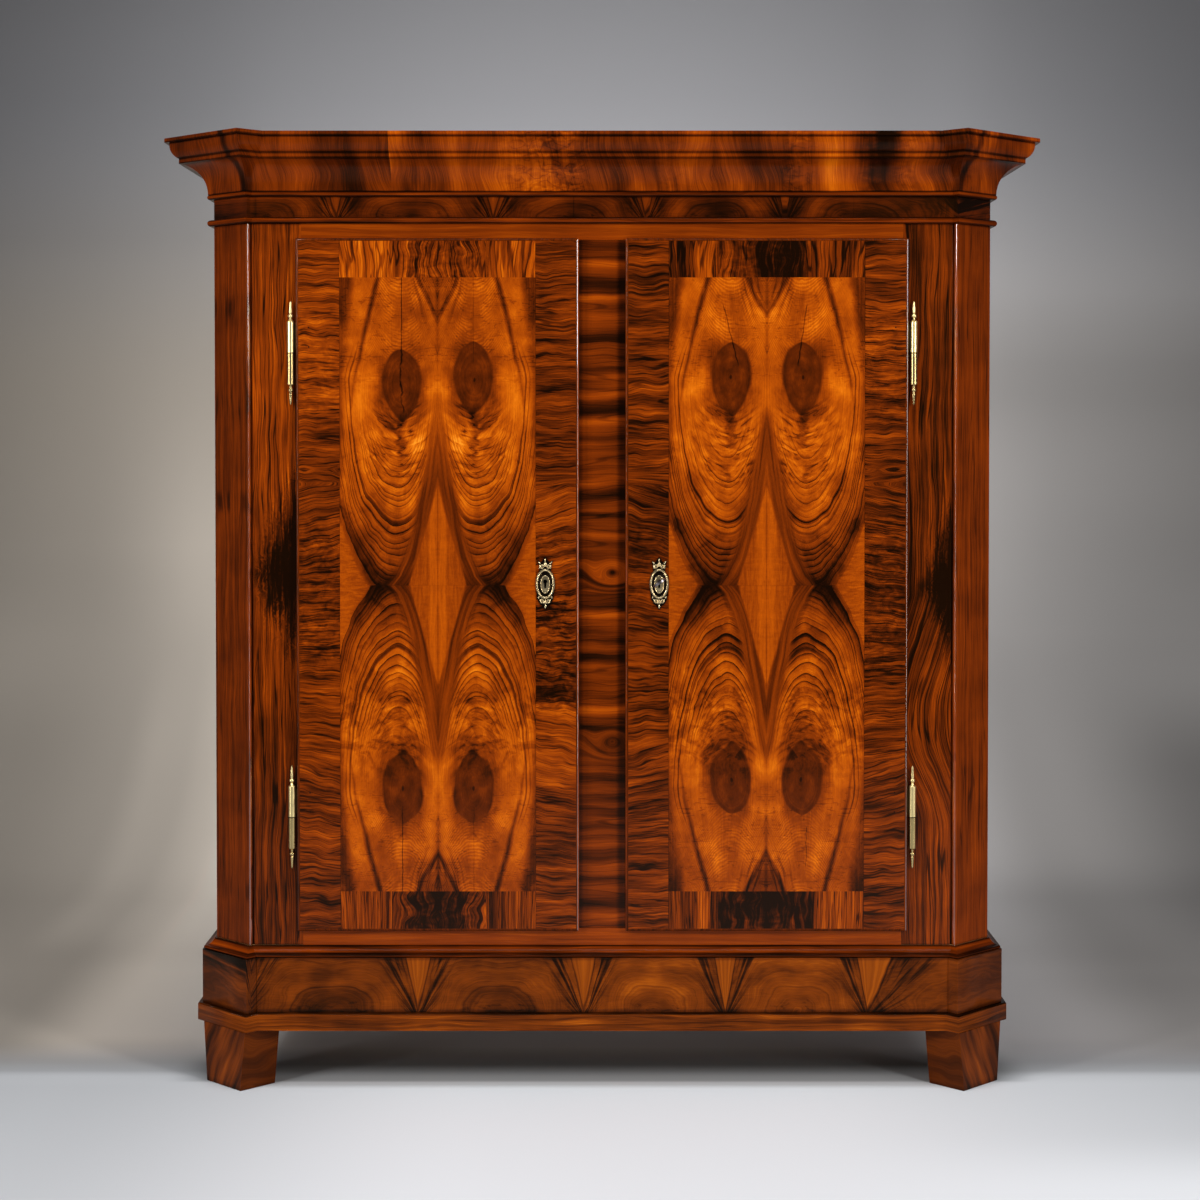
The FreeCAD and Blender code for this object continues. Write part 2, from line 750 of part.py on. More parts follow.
def side_board(label):
    """A side with a rebate for the back boards."""
    inner = half_width - sizes.side_thickness
    corners = [
        (inner, cant_y(NOTHING)),
        (half_width, cant_y(NOTHING)),
        (half_width, back_y),
        (inner + sizes.back_rebate, back_y),
        (inner + sizes.back_rebate, back_y - sizes.back_thickness),
        (inner, back_y - sizes.back_thickness),
    ]
    return slab(label, corners, carcass_z, sizes.carcass_height)


def pilaster(label):
    """The canted corner post with its eased nose."""
    thickness = (sizes.side_thickness, sizes.frame_thickness)
    body = corner_block(label, NOTHING, *thickness, carcass_z, sizes.carcass_height)
    doc.recompute()
    nose = FreeCAD.Vector(nose_x.value, nose_y(NOTHING).value, 0)
    names = []
    for number, edge in enumerate(body.Shape.Edges, start=1):
        upright = edge.BoundBox.ZLength > sizes.carcass_height.value / 2
        near = math.hypot(edge.CenterOfMass.x - nose.x, edge.CenterOfMass.y - nose.y) < 1
        if upright and near:
            names.append(f"Edge{number}")
    rounded(body, names, sizes.nose_round)
    return body


def back_boards():
    """Upright boards side by side, in the rebates of the sides."""
    count = int(sizes.back_board_count.value)
    reach = half_width - sizes.side_thickness + sizes.back_rebate
    width = reach * 2 / sizes.back_board_count
    inner = back_y - sizes.back_thickness
    boards = []
    for number in range(count):
        left = width * number - reach
        right = width * (number + 1) - reach
        corners = [
            (left, back_y),
            (left, inner + sizes.back_bevel),
            (left + sizes.back_bevel, inner),
            (right - sizes.back_bevel, inner),
            (right, inner + sizes.back_bevel),
            (right, back_y),
        ]
        boards.append(slab(f"back_board_{number + 1}", corners, carcass_z, sizes.carcass_height))
    return group("back_boards", boards)


def carcass_parts(hinge_slots, strike, mortise):
    """Frame, sides, back and ceiling."""
    stile = frame_stile(hinge_slots)
    side = side_board("side_right")
    corner = pilaster("pilaster_right")
    bottom, top = post_tenon_heights()
    inner = half_width - sizes.side_thickness
    rail_back = back_y - sizes.back_thickness
    ceiling = [
        (half_width - sizes.frieze_thickness, back_y - sizes.frieze_thickness),
        (half_width - sizes.frieze_thickness, cant_y(NOTHING)),
        (return_x(NOTHING), frame_y + sizes.frieze_thickness),
    ]
    return [
        stile,
        mirrored("stile_left", stile),
        side,
        mirrored("side_left", side),
        corner,
        mirrored("pilaster_left", corner),
        frame_rail("top_rail", opening_high_z, head_z, top),
        frame_rail("bottom_rail", carcass_z, opening_low_z, bottom),
        centre_post(strike, mortise),
        back_boards(),
        box(
            "back_rail",
            (-inner, inner),
            (rail_back - sizes.back_rail_thickness, rail_back),
            (head_z - sizes.back_rail_height, head_z),
        ),
        slab("top_board", ceiling + mirrored_points(ceiling), head_z, sizes.top_board_thickness),
    ]


# Cornice
def cornice_parts(boxes):
    """Beads, frieze, hollow and crown."""
    frieze_inner = half_width - sizes.frieze_thickness
    cove_inner = half_width - sizes.moulding_backing
    rear_y = (back_y - sizes.frieze_thickness, back_y)
    rear = [
        box("frieze_rear_board", (-frieze_inner, frieze_inner), rear_y, (head_z, upper_bead_z)),
        box("cornice_rear_board", (-cove_inner, cove_inner), rear_y, (upper_bead_z, crown_z)),
    ]
    return [
        moulding("bead_lower", bead_profile(head_z, sizes.lower_bead_height), boxes),
        *board_ring("frieze", NOTHING, sizes.frieze_thickness, frieze_z, sizes.frieze_height),
        group("frieze_rear", rear),
        moulding("bead_upper", bead_profile(upper_bead_z, sizes.upper_bead_height), boxes),
        moulding("cornice_cove", cove_profile(), boxes),
        moulding("cornice_crown", crown_profile(), boxes),
    ]


# Interior
shelf_z = head_z - sizes.hat_space - sizes.shelf_thickness
rail_y = frame_y + sizes.body_depth / 2


def rail_bracket(name, x, top):
    """A round-ended bracket with a socket for the clothes rail."""
    centre_z = shelf_z - sizes.hanging_rail_drop
    body = new_body(name)
    corners = [
        (rail_y - sizes.bracket_radius, top),
        (rail_y - sizes.bracket_radius, centre_z, sizes.bracket_radius + sizes.bracket_slack),
        (rail_y + sizes.bracket_radius, centre_z),
        (rail_y + sizes.bracket_radius, top),
    ]
    pad(body, drawn(body, f"{name}_outline", "YZ_Plane", corners, x), sizes.bracket_thickness)
    radius = sizes.hanging_rail_radius + sizes.socket_clearance
    socket = rod(f"{name}_socket", radius, sizes.bracket_thickness, (x, rail_y, centre_z), "x")
    return cut(f"{name}_bored", body, socket)


def interior_parts():
    """Hat shelf on battens, and a clothes rail under it."""
    inner = half_width - sizes.side_thickness
    back = back_y - sizes.back_thickness
    front = cant_y(NOTHING) + sizes.shelf_setback
    batten_z = (shelf_z - sizes.batten_height, shelf_z)
    side_batten = box("batten_right", (inner - sizes.batten_thickness, inner), (front, back), batten_z)
    rear_reach = inner - sizes.batten_thickness
    rear_depth = (back - sizes.batten_thickness, back)
    rear_batten = box("batten_rear", (-rear_reach, rear_reach), rear_depth, batten_z)
    side_bracket = rail_bracket("bracket_right", inner - sizes.bracket_thickness, batten_z[0])
    middle_bracket = rail_bracket("bracket_middle", -sizes.bracket_thickness / 2, shelf_z)
    rail_z = shelf_z - sizes.hanging_rail_drop
    return [
        box("hat_shelf", (-inner, inner), (front, back), (shelf_z, shelf_z + sizes.shelf_thickness)),
        group("shelf_battens", [side_batten, mirrored("batten_left", side_batten), rear_batten]),
        rod("clothes_rail", sizes.hanging_rail_radius, inner * 2, (-inner, rail_y, rail_z), "x"),
        group("rail_brackets", [side_bracket, mirrored("bracket_left", side_bracket), middle_bracket]),
    ]


# Doors
door_x = (post_side_x - sizes.door_post_lap, opening_x + sizes.door_stile_lap)
door_z = (opening_low_z - sizes.door_end_lap, opening_high_z + sizes.door_end_lap)
door_face_y = frame_y - sizes.door_lip
door_back_y = frame_y + sizes.door_tongue
bed_y = door_face_y + sizes.veneer_thickness
tongue_x = (post_side_x + sizes.door_clearance, opening_x - sizes.door_clearance)
tongue_z = (opening_low_z + sizes.door_clearance, opening_high_z - sizes.door_clearance)
edging_x = (door_x[0] + sizes.door_edging, door_x[1] - sizes.door_edging)
edging_z = (door_z[0] + sizes.door_edging, door_z[1] - sizes.door_edging)
door_frame_x = (door_x[0] + sizes.door_stile_width, door_x[1] - sizes.door_stile_width)
key_x = door_x[0] + sizes.lock_inset
key_z = door_z[0] + sizes.lock_height
hinge_x = door_x[1] + sizes.hinge_gap
hinge_y = frame_y - sizes.door_lip / 2
hinge_heights = (door_z[0] + sizes.hinge_inset, door_z[1] - sizes.hinge_inset)


def rectangle(x, z):
    """Four corners between two pairs of formulas."""
    return [(x[0], z[0]), (x[1], z[0]), (x[1], z[1]), (x[0], z[1])]


def door_blank():
    """The whole groundwork of the right door: lip, tongue, eased edges and the bed for the veneer."""
    body = new_body("door_blank")
    lip = drawn(body, "door_lip_outline", "XZ_Plane", rectangle(door_x, door_z), -frame_y)
    pad(body, lip, sizes.door_lip)
    doc.recompute()
    names = []
    for number, edge in enumerate(body.Shape.Edges, start=1):
        flat = edge.BoundBox.YLength < 1
        if flat and abs(edge.CenterOfMass.y - door_face_y.value) < 1:
            names.append(f"Edge{number}")
    rounded(body, names, sizes.door_edge_round)
    tongue = drawn(body, "door_tongue_outline", "XZ_Plane", rectangle(tongue_x, tongue_z), -frame_y)
    pad(body, tongue, sizes.door_tongue, backwards=True)
    bed = drawn(body, "door_bed_outline", "XZ_Plane", rectangle(edging_x, edging_z), -door_face_y)
    pocket(body, bed, sizes.veneer_thickness)
    return body


def door_rail_heights():
    """Bottom, middle and top rail of a door."""
    middle = (door_z[0] + door_z[1]) / 2
    return [
        (door_z[0], door_z[0] + sizes.door_bottom_rail),
        (middle - sizes.door_middle_rail / 2, middle + sizes.door_middle_rail / 2),
        (door_z[1] - sizes.door_top_rail, door_z[1]),
    ]


def door_panel_boxes():
    """The lower and the upper panel, with their edges let into the frame from the front."""
    rails = door_rail_heights()
    x = (door_frame_x[0] - sizes.panel_tongue, door_frame_x[1] + sizes.panel_tongue)
    panels = []
    for number in range(2):
        z = (rails[number][1] - sizes.panel_tongue, rails[number + 1][0] + sizes.panel_tongue)
        panels.append(box(f"door_panel_{number + 1}", x, (bed_y, bed_y + sizes.panel_thickness), z))
    return panels


def door_tenon(name, side, z):
    """The tenon of a door rail in the lock stile (side 0) or the hinge stile (side 1)."""
    edge = door_frame_x[side]
    x = (edge - sizes.door_tenon_length, edge) if side == 0 else (edge, edge + sizes.door_tenon_length)
    y = bed_y + sizes.panel_thickness
    return box(name, x, (y, y + sizes.tenon_thickness), z)


def door_tenon_height(rail):
    """A door tenon keeps clear of the tongue's ends and of the panels' edges."""
    shoulder = sizes.tenon_shoulder * 2
    return (rail[0] + shoulder, rail[1] - shoulder)


def door_frame_parts(blank, panels, slots, keyhole):
    """Stiles and rails of the right door."""
    rails = door_rail_heights()
    depth = (door_face_y, door_back_y)
    tenons = []
    rail_pieces = []
    for number, rail in enumerate(rails):
        region = box(f"door_rail_region_{number}", door_frame_x, depth, rail)
        piece = common(f"door_rail_stock_{number}", blank, region)
        span = door_tenon_height(rail)
        ends = [door_tenon(f"door_tenon_{number}_{side}", side, span) for side in range(2)]
        tenons.append(ends)
        beside = panels[max(number - 1, 0):number + 1]
        rebated = cut(f"door_rail_rebated_{number}", piece, *beside)
        rail_pieces.append(fuse(f"door_rail_{number}", rebated, *ends))
    stiles = []
    for side in range(2):
        x = (door_x[0], door_frame_x[0]) if side == 0 else (door_frame_x[1], door_x[1])
        region = box(f"door_stile_region_{side}", x, depth, door_z)
        piece = common(f"door_stile_stock_{side}", blank, region)
        tools = list(panels) + [ends[side] for ends in tenons]
        tools += [keyhole] if side == 0 else slots
        stiles.append(cut(f"door_stile_{side}", piece, *tools))
    return stiles, rail_pieces


def leaf_pins():
    """Pins that hold the door's hinge leaves, seen on the door's face."""
    pins = []
    for hinge, joint in enumerate(hinge_heights):
        for number in range(2):
            z = joint + sizes.leaf_pin_first + sizes.leaf_pin_spacing * number
            base = (door_x[1] - sizes.leaf_pin_inset, door_face_y, z)
            name = f"leaf_pin_{hinge}_{number}"
            pins.append(rod(name, sizes.leaf_pin_radius, sizes.leaf_pin_length, base, "y"))
    return pins


def veneer_leaves():
    """Four matched leaves on the panels."""
    x = [door_x[0] + sizes.border_inner, None, door_x[1] - sizes.border_outer]
    z = [door_z[0] + sizes.border_bottom, None, door_z[1] - sizes.border_top]
    x[1] = (x[0] + x[2]) / 2
    z[1] = (z[0] + z[2]) / 2
    leaves = []
    for column in range(2):
        for line in range(2):
            span_x = (x[column], x[column + 1])
            span_z = (z[line], z[line + 1])
            leaves.append(box(f"veneer_leaf_{column}_{line}", span_x, (door_face_y, bed_y), span_z))
    return leaves


def banding_pieces(keyhole, pins):
    """Cross-grained bandings: the upright ones run through, in several lengths."""
    depth = (door_face_y, bed_y)
    inner = (edging_x[0], door_x[0] + sizes.border_inner)
    outer = (door_x[1] - sizes.border_outer, edging_x[1])
    count = int(sizes.banding_lengths.value)
    length = (edging_z[1] - edging_z[0]) / sizes.banding_lengths
    pieces = []
    for number in range(count):
        z = (edging_z[0] + length * number, edging_z[0] + length * (number + 1))
        lock_side = box(f"banding_lock_{number}", inner, depth, z)
        if z[0].value < key_z.value < z[1].value:
            lock_side = cut(f"banding_keyed_{number}", lock_side, keyhole)
        hinge_side = box(f"banding_hinge_{number}", outer, depth, z)
        inside = [pin for pin, height in pins if z[0].value < height < z[1].value]
        if inside:
            hinge_side = cut(f"banding_pinned_{number}", hinge_side, *inside)
        pieces += [lock_side, hinge_side]
    across = (inner[1], outer[0])
    pieces.append(box("banding_low", across, depth, (edging_z[0], door_z[0] + sizes.border_bottom)))
    pieces.append(box("banding_high", across, depth, (door_z[1] - sizes.border_top, edging_z[1])))
    return pieces


# Hinges
def turned_half(name, bore):
    """A hinge half on the Z axis: barrel from the joint up, with a turned finial, bored for the pin."""
    body = new_body(name)
    barrel = sizes.barrel_length
    chamfer = sizes.barrel_chamfer
    radius = sizes.barrel_radius
    neck = sizes.finial_neck_radius
    ball = sizes.finial_ball_radius
    spire = sizes.finial_spire_radius
    length = sizes.finial_length
    start = sizes.barrel_gap / 2
    edge = ball - sizes.finial_ball_flat
    collar = neck + sizes.finial_collar
    corners = [
        (NOTHING, start),
        (radius, start),
        (radius, barrel - chamfer),
        (radius - chamfer, barrel),
        (collar, barrel + sizes.finial_collar),
        (neck, barrel + length * FINIAL_NECK),
        (neck, barrel + length * FINIAL_BALL - edge, ball),
        (neck, barrel + length * FINIAL_BALL + edge),
        (spire, barrel + length * FINIAL_SWELL),
        (spire, barrel + length * FINIAL_SHOULDER),
        (sizes.finial_tip_radius, barrel + length * FINIAL_TIP),
        (NOTHING, barrel + length),
    ]
    profile = drawn(body, f"{name}_profile", "XZ_Plane", corners)
    turning = body.newObject("PartDesign::Revolution", f"{name}_turning")
    turning.Profile = profile
    turning.ReferenceAxis = (origin_feature(body, "Z_Axis"), [""])
    turning.Angle = 360
    hole = rod(f"{name}_bore", bore, sizes.hinge_pin_grip, (NOTHING, NOTHING, NOTHING), "z")
    return cut(f"{name}_bored", body, hole)


def placed(name, source, rotation, x, y, z):
    """A copy of a piece, turned and moved."""
    item = doc.addObject("Part::Compound", name)
    item.Links = [source]
    item.Placement = FreeCAD.Placement(FreeCAD.Vector(), rotation)
    move_to(item, x, y, z)
    return item


def door_leaf(name, joint, start):
    """The leaf let into the door's edge, from a start beside the hinge axis."""
    half = sizes.leaf_thickness / 2
    z = joint + sizes.leaf_inset
    x = (hinge_x - sizes.door_leaf_reach, start)
    return box(name, x, (hinge_y - half, hinge_y + half), (z, z + sizes.leaf_height))


def frame_leaf(name, joint, start):
    """The leaf let into the frame stile, from a start beside the hinge axis."""
    half = sizes.leaf_thickness / 2
    z = joint - sizes.leaf_inset
    y = (start, hinge_y + sizes.frame_leaf_reach)
    return box(name, (hinge_x - half, hinge_x + half), y, (z - sizes.leaf_height, z))


def hinge_parts(pins):
    """Door halves, frame halves and pins of the right door's two hinges."""
    running = sizes.hinge_pin_radius + sizes.hinge_running_clearance
    upper = turned_half("hinge_upper", running)
    lower = turned_half("hinge_lower", sizes.hinge_pin_radius)
    over = FreeCAD.Rotation(FreeCAD.Vector(1, 0, 0), 180)
    wall = (sizes.barrel_radius + sizes.hinge_pin_radius) / 2
    door_halves = []
    frame_halves = []
    hinge_pins = []
    for number, joint in enumerate(hinge_heights):
        barrel = placed(f"hinge_door_barrel_{number}", upper, FreeCAD.Rotation(), hinge_x, hinge_y, joint)
        leaf = door_leaf(f"hinge_door_leaf_{number}", joint, hinge_x - wall)
        whole = fuse(f"hinge_door_whole_{number}", barrel, leaf)
        door_halves.append(cut(f"hinge_door_half_{number}", whole, *pins[2 * number:2 * number + 2]))
        barrel = placed(f"hinge_frame_barrel_{number}", lower, over, hinge_x, hinge_y, joint)
        leaf = frame_leaf(f"hinge_frame_leaf_{number}", joint, hinge_y + wall)
        frame_halves.append(fuse(f"hinge_frame_half_{number}", barrel, leaf))
        base = (hinge_x, hinge_y, joint - sizes.hinge_pin_grip)
        length = sizes.hinge_pin_grip * 2 - sizes.hinge_pin_short
        hinge_pins.append(rod(f"hinge_pin_{number}", sizes.hinge_pin_radius, length, base, "z"))
    return door_halves, frame_halves, hinge_pins


# Locks
lock_x = (door_x[0] + sizes.lock_edge_gap, door_x[0] + sizes.lock_edge_gap + sizes.lock_case_length)
lock_z = (key_z - sizes.lock_case_below, key_z - sizes.lock_case_below + sizes.lock_case_height)
lock_back_y = door_back_y + sizes.lock_case_depth
plate_back_y = door_back_y + sizes.lock_wall
bolt_y = (plate_back_y + sizes.bolt_setback, plate_back_y + sizes.bolt_setback + sizes.bolt_thickness)
bolt_z = (key_z + sizes.bolt_lift, key_z + sizes.bolt_lift + sizes.bolt_height)


def widened(span, by):
    """A span with clearance at both ends."""
    return (span[0] - by, span[1] + by)


def keyhole_tool():
    """The keyhole through escutcheon, door and lock plate."""
    front = door_face_y - sizes.plate_dome_height * 2
    length = plate_back_y - front
    head = rod("keyhole_head", sizes.keyhole_radius, length, (key_x, front, key_z), "y")
    half = sizes.keyhole_slot_width / 2
    slot_z = (key_z - sizes.keyhole_drop, key_z)
    slot = box("keyhole_slot", (key_x - half, key_x + half), (front, plate_back_y), slot_z)
    return fuse("keyhole", head, slot)


def lock_case(keyhole):
    """A shallow box on the door's back, with its bolt slot and guide pin, and the plate that closes it."""
    wall = sizes.lock_wall
    shell = box("lock_shell", lock_x, (plate_back_y, lock_back_y), lock_z)
    inside_x = (lock_x[0] + wall, lock_x[1] - wall)
    inside_z = (lock_z[0] + wall, lock_z[1] - wall)
    hollow = box("lock_hollow", inside_x, (plate_back_y, lock_back_y - wall), inside_z)
    slot_x = (lock_x[0], lock_x[0] + wall)
    clearance = sizes.bolt_clearance
    slot = box("lock_slot", slot_x, widened(bolt_y, clearance), widened(bolt_z, clearance))
    pin_x = lock_x[0] + sizes.guide_pin_inset
    pin_z = (bolt_z[0] + bolt_z[1]) / 2
    pin_length = lock_back_y - wall - plate_back_y
    pin = rod("lock_guide_pin", sizes.guide_pin_radius, pin_length, (pin_x, plate_back_y, pin_z), "y")
    tip_radius = sizes.shank_radius + clearance
    tip = rod("lock_tip_hole", tip_radius, wall, (key_x, lock_back_y - wall, key_z), "y")
    box_part = fuse("lock_box", cut("lock_box_open", shell, hollow, slot, tip), pin)
    plate = box("lock_plate_blank", lock_x, (door_back_y, plate_back_y), lock_z)
    return group("lock_right_case", [box_part, cut("lock_plate", plate, keyhole)])


def lock_bolt():
    """The bolt, drawn back: a bar with a notch for the key and a slot for the guide pin."""
    bar = box("bolt_bar", (lock_x[0], lock_x[0] + sizes.bolt_length), bolt_y, bolt_z)
    middle = key_x + sizes.bolt_throw / 2
    half = sizes.talon_width / 2
    talon_z = (bolt_z[0], bolt_z[0] + sizes.talon_height)
    talon = box("bolt_talon", (middle - half, middle + half), bolt_y, talon_z)
    slot_radius = sizes.guide_pin_radius + sizes.bolt_clearance
    pin_x = lock_x[0] + sizes.guide_pin_inset
    pin_z = (bolt_z[0] + bolt_z[1]) / 2
    start = rod("bolt_slot_start", slot_radius, sizes.bolt_thickness, (pin_x, bolt_y[0], pin_z), "y")
    end_x = pin_x + sizes.bolt_throw
    end = rod("bolt_slot_end", slot_radius, sizes.bolt_thickness, (end_x, bolt_y[0], pin_z), "y")
    between = box("bolt_slot_middle", (pin_x, end_x), bolt_y, widened((pin_z, pin_z), slot_radius))
    return cut("lock_right_bolt", bar, talon, start, end, between)


def strike_tools():
    """The plate on the post's right side, the bolt's mortise behind it, and the plate's own slot."""
    z = widened(bolt_z, sizes.bolt_clearance)
    y = widened(bolt_y, sizes.bolt_clearance)
    plate_x = (post_side_x - sizes.strike_thickness, post_side_x)
    border_y = (y[0] - sizes.strike_border, y[1] + sizes.strike_border / 2)
    plate = box("strike_blank", plate_x, border_y, widened(z, sizes.strike_border))
    depth = lock_x[0] - sizes.bolt_throw - sizes.bolt_end_room
    mortise = box("strike_mortise", (depth, post_side_x), y, z)
    return plate, mortise


def key(label):
    """The key on its own axis: bow towards the room, bit upright, then turned to its place."""
    front = -sizes.key_reach
    inside = lock_back_y - sizes.lock_wall / 2 - door_face_y
    shank = rod("key_shank", sizes.shank_radius, inside - front, (NOTHING, front, NOTHING), "y")
    collar = rod("key_collar", sizes.key_collar_radius, sizes.bow_bar, (NOTHING, front, NOTHING), "y")
    half = sizes.bit_thickness / 2
    bit_y = (bolt_y[0] + bolt_y[1]) / 2 - door_face_y
    bit_span = (bit_y - sizes.bit_width / 2, bit_y + sizes.bit_width / 2)
    bit = box("key_bit", (-half, half), bit_span, (NOTHING, sizes.bit_radius))
    centre_y = front - sizes.bow_length + sizes.bow_bar / 2
    outer = oval("key_bow_outer", sizes.bow_height, sizes.bow_length, centre_y)
    bar = sizes.bow_bar
    inner = oval("key_bow_inner", sizes.bow_height - bar, sizes.bow_length - bar, centre_y)
    whole = fuse("key_whole", shank, collar, bit, cut("key_bow", outer, inner))
    turn = FreeCAD.Rotation(FreeCAD.Vector(0, 1, 0), sizes.key_rest_angle.value)
    item = placed(label, whole, turn, key_x, door_face_y, key_z)
    item.setExpression("Placement.Rotation.Angle", sizes.key_rest_angle.formula)
    item.Label = label
    return item


def oval(name, half_height, half_length, centre_y):
    """A flat oval in the plane of the key's bow."""
    edge = doc.addObject("Part::Ellipse", f"{name}_edge")
    edge.Placement = FreeCAD.Placement(FreeCAD.Vector(), FreeCAD.Rotation(FreeCAD.Vector(0, 1, 0), -90))
    bind(edge, MajorRadius=half_height, MinorRadius=half_length)
    move_to(edge, sizes.bow_bar / 2, centre_y, NOTHING)
    return extruded(name, edge, FreeCAD.Vector(-1, 0, 0), sizes.bow_bar)


def extruded(name, edge, direction, length):
    """A solid from a closed flat edge."""
    item = doc.addObject("Part::Extrusion", name)
    item.Base = edge
    item.DirMode = "Custom"
    item.Dir = direction
    item.Solid = True
    bind(item, LengthFwd=length)
    return item


def upright_oval(name, half_width_size, half_height, depth):
    """An upright oval that stands out of the door's face."""
    edge = doc.addObject("Part::Ellipse", f"{name}_edge")
    axes = (FreeCAD.Vector(0, 0, 1), FreeCAD.Vector(-1, 0, 0), FreeCAD.Vector(0, -1, 0))
    edge.Placement = FreeCAD.Placement(FreeCAD.Vector(), FreeCAD.Rotation(*axes, "XYZ"))
    bind(edge, MajorRadius=half_height, MinorRadius=half_width_size)
    move_to(edge, key_x, door_face_y, plate_z)
    return extruded(name, edge, FreeCAD.Vector(0, -1, 0), depth)


plate_z = key_z - sizes.plate_lower


def ornament(name, shares, tip, direction):
    """A cut outline above (1) or below (-1) the oval, over two small bosses.

    The shares run from the plate's right edge to its tip, of the oval's half width and of the tip.
    """
    right = [(sizes.plate_width * across, plate_z + tip * up * direction) for across, up in shares]
    corners = [(key_x + across, up) for across, up in right]
    corners += [(key_x - across, up) for across, up in reversed(right[:-1])]
    body = new_body(name)
    sketch = drawn(body, f"{name}_outline", "XZ_Plane", corners, -door_face_y)
    pad(body, sketch, sizes.ornament_thickness)
    raised = sizes.plate_rim_height
    boss_z = plate_z + (sizes.plate_height + sizes.boss_radius) * direction
    bosses = []
    for number, side in enumerate((-1, 1)):
        base = (key_x + sizes.boss_inset * side, door_face_y - raised, boss_z)
        bosses.append(rod(f"{name}_boss_{number}", sizes.boss_radius, raised, base, "y"))
    return [body, *bosses]


def escutcheon(keyhole):
    """An oval plate with a raised rim, a domed middle, a crest and a drop."""
    rim_width = sizes.plate_width - sizes.plate_rim
    rim_height = sizes.plate_height - sizes.plate_rim
    plate = upright_oval("escutcheon_plate", sizes.plate_width, sizes.plate_height, sizes.plate_thickness)
    raised = sizes.plate_rim_height
    outer = upright_oval("escutcheon_rim_outer", sizes.plate_width, sizes.plate_height, raised)
    inner = upright_oval("escutcheon_rim_inner", rim_width, rim_height, raised)
    rim = cut("escutcheon_rim", outer, inner)
    dome = doc.addObject("Part::Ellipsoid", "escutcheon_dome_full")
    reach = (rim_height - sizes.dome_gap, rim_width - sizes.dome_gap)
    bind(dome, Radius1=reach[0], Radius2=reach[1], Radius3=sizes.plate_dome_height)
    move_to(dome, key_x, door_face_y, plate_z)
    span = sizes.plate_height
    front = box(
        "escutcheon_front",
        (key_x - span, key_x + span),
        (door_face_y - span, door_face_y),
        (plate_z - span, plate_z + span),
    )
    half_dome = common("escutcheon_dome", dome, front)
    crest = ornament("escutcheon_crest", CREST_SHARES, sizes.plate_crest, 1)
    drop = ornament("escutcheon_drop", DROP_SHARES, sizes.plate_drop, -1)
    return cut("escutcheon_right", fuse("escutcheon_whole", plate, rim, half_dome, *crest, *drop), keyhole)


def door_parts():
    """Both doors with their hinges and locks, and what the carcass holds for them."""
    keyhole = keyhole_tool()
    pins = leaf_pins()
    pin_heights = []
    for joint in hinge_heights:
        for number in range(2):
            pin_heights.append((joint + sizes.leaf_pin_first + sizes.leaf_pin_spacing * number).value)
    slots = [door_leaf(f"door_leaf_slot_{n}", joint, door_x[1]) for n, joint in enumerate(hinge_heights)]
    panels = door_panel_boxes()
    stiles, rails = door_frame_parts(door_blank(), panels, slots + pins, keyhole)
    leaves = veneer_leaves()
    banding = banding_pieces(keyhole, list(zip(pins, pin_heights)))
    door_halves, frame_halves, hinge_pins = hinge_parts(pins)
    case = lock_case(keyhole)
    bolt = lock_bolt()
    plate = escutcheon(keyhole)
    strike, mortise = strike_tools()
    strike_right = cut("strike_right", strike, mortise)
    nodes = []
    pieces = {
        "stiles": stiles,
        "rails": rails,
        "panels": panels,
        "veneer": leaves,
        "banding": banding,
        "hinge_halves": door_halves,
        "leaf_pins": pins,
    }
    for name, items in pieces.items():
        nodes.append(group(f"door_right_{name}", items))
        nodes.append(group(f"door_left_{name}", [mirrored(f"{item.Label}_left", item) for item in items]))
    for name, items in {"hinge_frame_halves": frame_halves, "hinge_pins": hinge_pins}.items():
        nodes.append(group(name, items + [mirrored(f"{item.Label}_left", item) for item in items]))
    nodes += [case, mirrored("lock_left_case", case), bolt, mirrored("lock_left_bolt", bolt)]
    nodes += [plate, mirrored("escutcheon_left", plate), key("key_right")]
    nodes.append(group("strike_plates", [strike_right, mirrored("strike_left", strike_right)]))
    frame_slots = []
    for number, joint in enumerate(hinge_heights):
        frame_slots.append(frame_leaf(f"frame_leaf_slot_{number}", joint, frame_y))
    return nodes, frame_slots, strike, mortise


def build():
    """Every sub-part of the wardrobe."""
    boxes = mitre_boxes()
    nodes, frame_slots, strike, mortise = door_parts()
    nodes += base_parts(boxes)
    nodes += carcass_parts(frame_slots, strike, mortise)
    nodes += cornice_parts(boxes)
    nodes += interior_parts()
    doc.recompute()
    return nodes


def check(nodes):
    """Stop if a feature failed or a sub-part has no sound solid."""
    failed = [item.Label for item in doc.Objects if "Invalid" in item.State or "Error" in item.State]
    if failed:
        raise RuntimeError(f"failed features: {failed}")
    for node in nodes:
        if node.Shape.isNull() or not node.Shape.isValid() or not node.Shape.Solids:
            raise RuntimeError(f"{node.Label} has no valid solid")


def write(nodes):
    """One STEP file for each sub-part."""
    os.makedirs("parts", exist_ok=True)
    for node in nodes:
        node.Shape.exportStep(os.path.join("parts", f"{node.Label}.step"))
        print(node.Label, len(node.Shape.Solids), round(node.Shape.Volume))


nodes = build()
check(nodes)
write(nodes)
